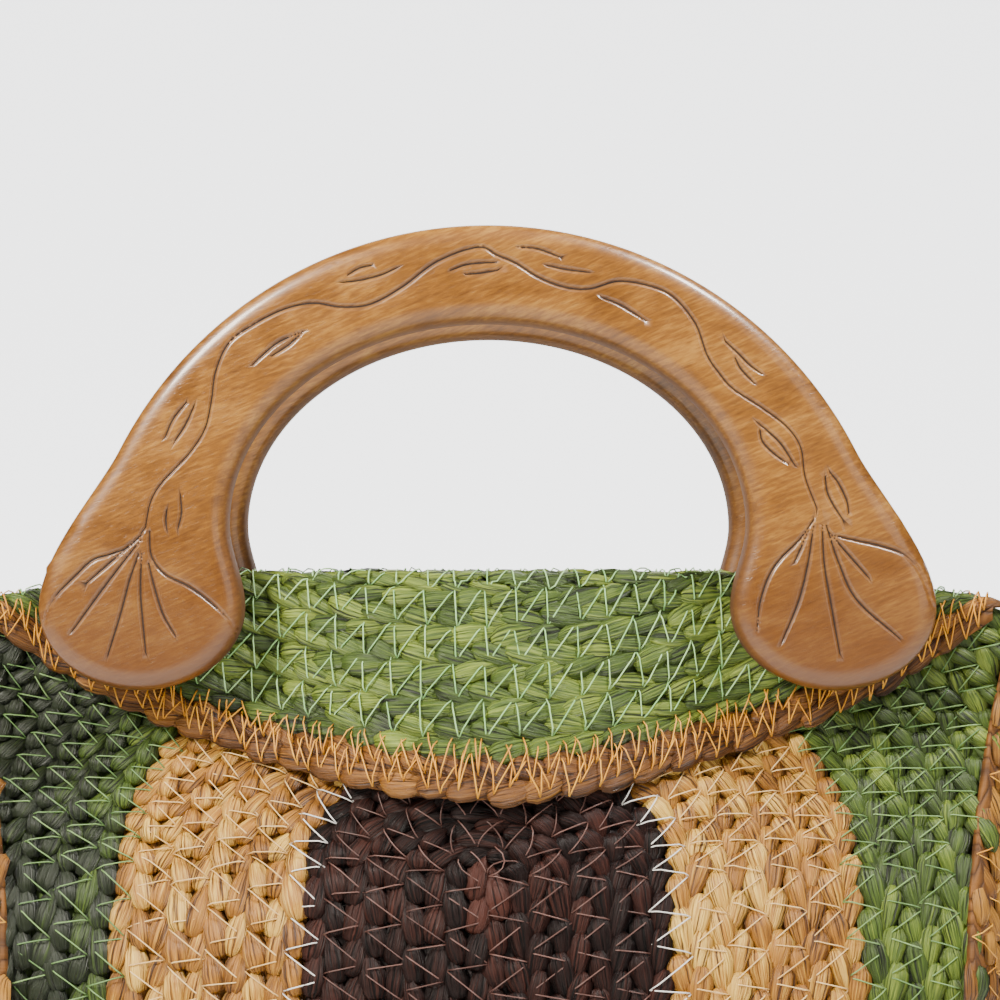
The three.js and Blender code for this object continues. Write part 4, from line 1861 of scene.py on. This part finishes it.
@dataclass
class Carving:
    """Knife-cut lines on a handle: a winding vine, pairs of leaf strokes and a fan on each paddle.

    Each place is its x and its height above the fold line, in millimetres.
    """

    shape: BagShape
    end_width: float = 0.45
    added_width: float = 0.6
    first_sample: float = 0.04

    VINE = (
        (-71.8, 9.8), (-70.8, 14.6), (-68.5, 18.6), (-62.8, 24.7), (-59.4, 30.0), (-58.0, 36.0),
        (-57.1, 42.1), (-54.4, 48.0), (-49.4, 51.8), (-42.6, 55.2), (-36.5, 56.4), (-30.7, 55.6),
        (-24.6, 56.2), (-17.9, 59.8), (-10.5, 65.2), (-1.9, 68.2), (2.1, 66.5), (6.1, 64.8),
        (10.7, 61.9), (16.2, 59.8), (21.4, 59.4), (27.5, 61.0), (33.6, 60.2), (38.9, 57.9),
        (43.7, 52.2), (46.2, 45.5), (48.9, 41.5), (51.7, 38.4), (57.8, 34.4), (63.0, 30.4),
        (65.9, 26.0), (66.8, 19.9), (69.3, 13.2),
    )
    LEAVES = (
        ((-49.4, 43.4), (-46.8, 45.9), (-43.9, 48.2), (-38.9, 50.5)),
        ((-45.4, 45.3), (-41.8, 47.6), (-39.1, 50.1)),
        ((-29.4, 62.3), (-26.9, 63.8), (-24.1, 64.4)),
        ((-30.4, 60.8), (-26.9, 61.2), (-22.5, 62.3), (-19.1, 63.8)),
        ((-7.8, 63.3), (-4.8, 64.4), (-2.1, 64.8), (1.9, 65.0)),
        ((-4.6, 62.5), (-1.7, 62.7), (2.1, 63.3)),
        ((6.5, 68.2), (10.7, 67.8), (15.3, 66.1)),
        ((12.4, 64.4), (16.6, 63.5), (21.4, 62.9)),
        ((23.9, 57.7), (27.7, 56.2), (30.9, 54.3), (33.2, 52.8)),
        ((50.0, 48.4), (52.7, 45.9), (55.2, 43.4), (57.5, 41.7)),
        ((52.1, 44.9), (53.3, 42.6), (56.1, 39.6)),
        ((56.7, 31.4), (59.2, 29.3), (61.9, 26.6), (64.7, 22.2)),
        ((57.3, 29.7), (57.8, 27.4), (59.9, 25.1), (63.2, 22.6)),
        ((72.0, 20.9), (73.8, 18.6), (75.5, 15.0), (76.0, 12.3)),
        ((71.0, 20.1), (71.4, 16.9), (72.6, 14.2), (74.6, 11.1)),
        ((-67.8, 28.1), (-66.1, 32.0), (-63.4, 35.4)),
        ((-65.7, 27.4), (-63.4, 31.0), (-61.7, 34.8)),
        ((-67.4, 12.9), (-67.6, 10.8), (-67.4, 8.9)),
        ((-64.5, 15.9), (-64.3, 12.3), (-65.1, 8.9)),
    )
    LEFT_FAN = (
        ((-71.8, 9.4), (-74.8, 5.6), (-79.0, 3.7), (-83.0, 2.4), (-87.0, -1.3), (-90.7, -5.1),
         (-92.8, -8.9), (-93.2, -11.4)),
        ((-72.9, 7.5), (-77.7, 3.3), (-84.2, -2.4)),
        ((-72.9, 6.6), (-76.7, 1.8), (-81.3, -4.3), (-87.4, -12.7)),
        ((-73.3, 3.7), (-75.2, -1.8), (-77.1, -8.9), (-79.8, -17.7)),
        ((-72.7, 3.7), (-72.9, -4.3), (-72.4, -10.8), (-71.8, -17.1)),
        ((-71.2, 1.8), (-70.1, -2.8), (-68.2, -8.9), (-65.7, -13.3)),
        ((-71.0, 8.5), (-70.6, 3.3), (-67.8, -0.5), (-62.6, -3.2), (-58.0, -6.6), (-54.2, -10.4),
         (-52.9, -13.5)),
    )
    RIGHT_FAN = (
        ((68.5, 10.8), (65.5, 6.6), (61.7, 2.8), (59.2, -0.9), (57.3, -6.6), (56.7, -12.3)),
        ((67.4, 8.5), (64.5, 1.8)),
        ((68.5, 9.4), (67.4, 1.8), (65.5, -6.0), (62.0, -14.6)),
        ((70.4, 9.8), (70.8, 1.8), (72.2, -6.6), (74.1, -17.3)),
        ((71.2, 9.8), (73.9, 1.8), (77.7, -6.0), (86.5, -13.9)),
        ((72.0, 8.1), (75.8, 3.7), (80.2, -1.3)),
        ((72.4, 7.7), (77.3, 6.6), (83.4, 5.2), (88.0, 3.3), (91.4, -0.9), (93.7, -7.4)),
    )

    def curve(self, places: tuple, spacing: float = 0.7) -> Array:
        """A smooth line through places, closely sampled.

        Args:
            places: x and height above the fold, in order.
            spacing: distance between samples.

        Returns:
            Points in x and z.
        """
        knots = np.array(places, dtype=float)
        knots[:, 1] += self.shape.fold
        if len(knots) == 2:
            length = np.linalg.norm(knots[1] - knots[0])
            t = np.linspace(0, 1, max(3, int(length / spacing)))[:, None]
            return mix(knots[0], knots[1], t)
        padded = np.vstack([2 * knots[0] - knots[1], knots, 2 * knots[-1] - knots[-2]])
        pieces = []
        for a, b, c, d in zip(padded, padded[1:], padded[2:], padded[3:]):
            count = max(2, int(np.linalg.norm(c - b) / spacing))
            t = np.linspace(0, 1, count, endpoint=False)[:, None]
            pieces.append(0.5 * (2 * b + (c - a) * t + (2 * a - 5 * b + 4 * c - d) * t**2
                                 + (3 * b - a - 3 * c + d) * t**3))
        return np.vstack([*pieces, knots[-1:]])

    def strokes(self) -> list[Array]:
        """Draws all carved lines.

        Returns:
            Lines of points in x and z, each point with its share of the full width.
        """
        groups = [(self.VINE,), self.LEAVES, self.LEFT_FAN, self.RIGHT_FAN]
        lines = [self.curve(line) for group in groups for line in group]
        return [np.column_stack([line, self.taper(len(line))]) for line in lines]

    def taper(self, count: int) -> Array:
        """Shares of the full width along a knife cut, thin at both ends."""
        place = np.linspace(self.first_sample, 1 - self.first_sample, count)
        return self.end_width + self.added_width * np.sin(np.pi * place) ** 0.5


@dataclass
class Studio:
    """A pale floor, a lit backdrop, soft light and the camera.

    The camera's distance, aside and height are millimetres. Its principal point and frame size are
    pixels of the photograph, and its scale is pixels to a millimetre at the front handle's face.
    Backdrop, floor and lights are in metres, the lights' powers in watts.
    """

    shape: BagShape
    handle_face: float
    distance: float = 448.0
    scale: float = 4.762
    aside: float = 2.0
    above_fold: float = 3.7
    principal: tuple[float, float] = (497.0, 554.0)
    frame_size: float = 1000.0
    sky: float = 0.12
    panel_back: float = 3.0
    panel_size: float = 4.0
    panel_glow: float = 3.0
    floor_size: float = 12.0
    sensor: float = 36.0
    lights: tuple = (
        ("key", (-0.60, -0.62, 0.82), 0.26, 22.0, (1.0, 0.95, 0.85)),
        ("fill", (0.70, -0.90, 0.45), 0.60, 2.4, (1.0, 0.96, 0.90)),
        ("top", (0.40, -0.28, 0.88), 0.16, 10.0, (1.0, 0.98, 0.95)),
    )

    def build(self) -> None:
        """Makes floor, backdrop, lights and camera."""
        self.floor()
        self.backdrop()
        for name, place, size, power, colour in self.lights:
            self.light(name, place, size, power, colour)
        world = bpy.data.worlds.new("studio")
        world.use_nodes = True
        sky = world.node_tree.nodes["Background"]
        sky.inputs["Color"].default_value = (1.0, 0.98, 0.95, 1.0)
        sky.inputs["Strength"].default_value = self.sky
        bpy.context.scene.world = world
        self.camera()

    def backdrop(self) -> None:
        """Makes a lit white panel far behind the bag."""
        work = bmesh.new()
        bmesh.ops.create_grid(work, x_segments=1, y_segments=1, size=self.panel_size / 2)
        bmesh.ops.rotate(work, verts=work.verts, matrix=Matrix.Rotation(math.pi / 2, 3, "X"))
        bmesh.ops.translate(work, verts=work.verts, vec=(0.0, self.panel_back, self.panel_size / 4))
        mesh = bpy.data.meshes.new("backdrop")
        work.to_mesh(mesh)
        work.free()
        material, nodes, shader = fresh_material("lit_backdrop")
        place = nodes.add("ShaderNodeTexCoord", {}, (), "Object")
        cloth = nodes.noise(place, (0.5, 0.5, 0.5), 1.0)
        glow = nodes.blend(cloth, (1.0, 1.0, 1.0), (0.97, 0.98, 1.0))
        material.node_tree.links.new(glow.socket, shader.inputs["Emission Color"])
        shader.inputs["Emission Strength"].default_value = self.panel_glow
        as_object("backdrop", mesh, material)

    def floor(self) -> None:
        """Makes the floor as one flat sheet."""
        work = bmesh.new()
        bmesh.ops.create_grid(work, x_segments=2, y_segments=2, size=self.floor_size / 2)
        mesh = bpy.data.meshes.new("floor")
        work.to_mesh(mesh)
        work.free()
        material, nodes, shader = fresh_material("pale_floor")
        place = nodes.add("ShaderNodeTexCoord", {}, (), "Object")
        grain = nodes.add("ShaderNodeTexNoise", {}, {"Vector": place, "Scale": 30.0, "Detail": 2.0})
        colour = nodes.blend(grain, (0.86, 0.86, 0.85), (0.92, 0.92, 0.91))
        material.node_tree.links.new(colour.socket, shader.inputs["Base Color"])
        shader.inputs["Roughness"].default_value = 0.9
        as_object("floor", mesh, material)

    def light(self, name: str, place: tuple, size: float, power: float, colour: Colour) -> None:
        """Makes one soft square light aimed at the bag's fold line.

        Args:
            name: the light's name.
            place: where it stands.
            size: its width.
            power: its power.
            colour: its colour.
        """
        data = bpy.data.lights.new(name, "AREA")
        data.shape, data.size, data.energy, data.color = "SQUARE", size, power, colour
        lamp = bpy.data.objects.new(name, data)
        lamp.location = place
        aim = Vector((0, 0, self.shape.fold * MM)) - Vector(place)
        lamp.rotation_euler = aim.to_track_quat("-Z", "Y").to_euler()
        bpy.context.scene.collection.objects.link(lamp)

    def camera(self) -> None:
        """Places the camera at the photograph's distance, height and framing."""
        data = bpy.data.cameras.new("camera")
        focal = self.scale * self.distance
        data.sensor_width = self.sensor
        data.lens = focal / self.frame_size * data.sensor_width
        data.shift_x = (0.5 * self.frame_size - self.principal[0]) / self.frame_size
        data.shift_y = (self.principal[1] - 0.5 * self.frame_size) / self.frame_size
        data.clip_start = 0.01
        camera = bpy.data.objects.new("camera", data)
        height = self.shape.fold + self.above_fold
        camera.location = Vector((self.aside, self.handle_face - self.distance, height)) * MM
        camera.rotation_euler = (math.pi / 2, 0, 0)
        bpy.context.scene.collection.objects.link(camera)
        bpy.context.scene.camera = camera


def read_shape() -> BagShape:
    """Takes the bag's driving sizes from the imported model's boxes.

    Returns:
        The sizes.
    """
    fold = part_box("front_cuff_green_rows")[1].z / MM
    low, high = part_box("front_handle")
    half_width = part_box("gusset")[1].x / MM
    return BagShape(fold=fold, half_width=half_width, handle_half_width=high.x / MM,
                    handle_drop=fold - low.z / MM)


def dress_screws(palette: Palette) -> None:
    """Gives the hidden handle screws their steel.

    Args:
        palette: the bag's finishes.
    """
    for name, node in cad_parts.items():
        if "screw" in name:
            node.data.materials.clear()
            node.data.materials.append(palette.steel)


def main() -> None:
    """Builds the bag piece by piece, then the studio."""
    logging.basicConfig(level=logging.INFO, format="%(message)s")
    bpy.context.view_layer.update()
    shape = read_shape()
    seam = SeamLine(shape)
    palette = Palette()
    low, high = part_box("front_handle")
    for side in Side:
        Panel(shape, seam, palette, side).build()
        Cuff(shape, palette, side).build()
        Handle(shape, palette, side, near=low.y / MM, far=high.y / MM, rise=high.z / MM - shape.fold,
               drop=shape.handle_drop, half_width=shape.handle_half_width).build()
    Gusset(shape, seam, palette).build()
    dress_screws(palette)
    Studio(shape, handle_face=low.y / MM).build()


if __name__ == "__main__":
    main()
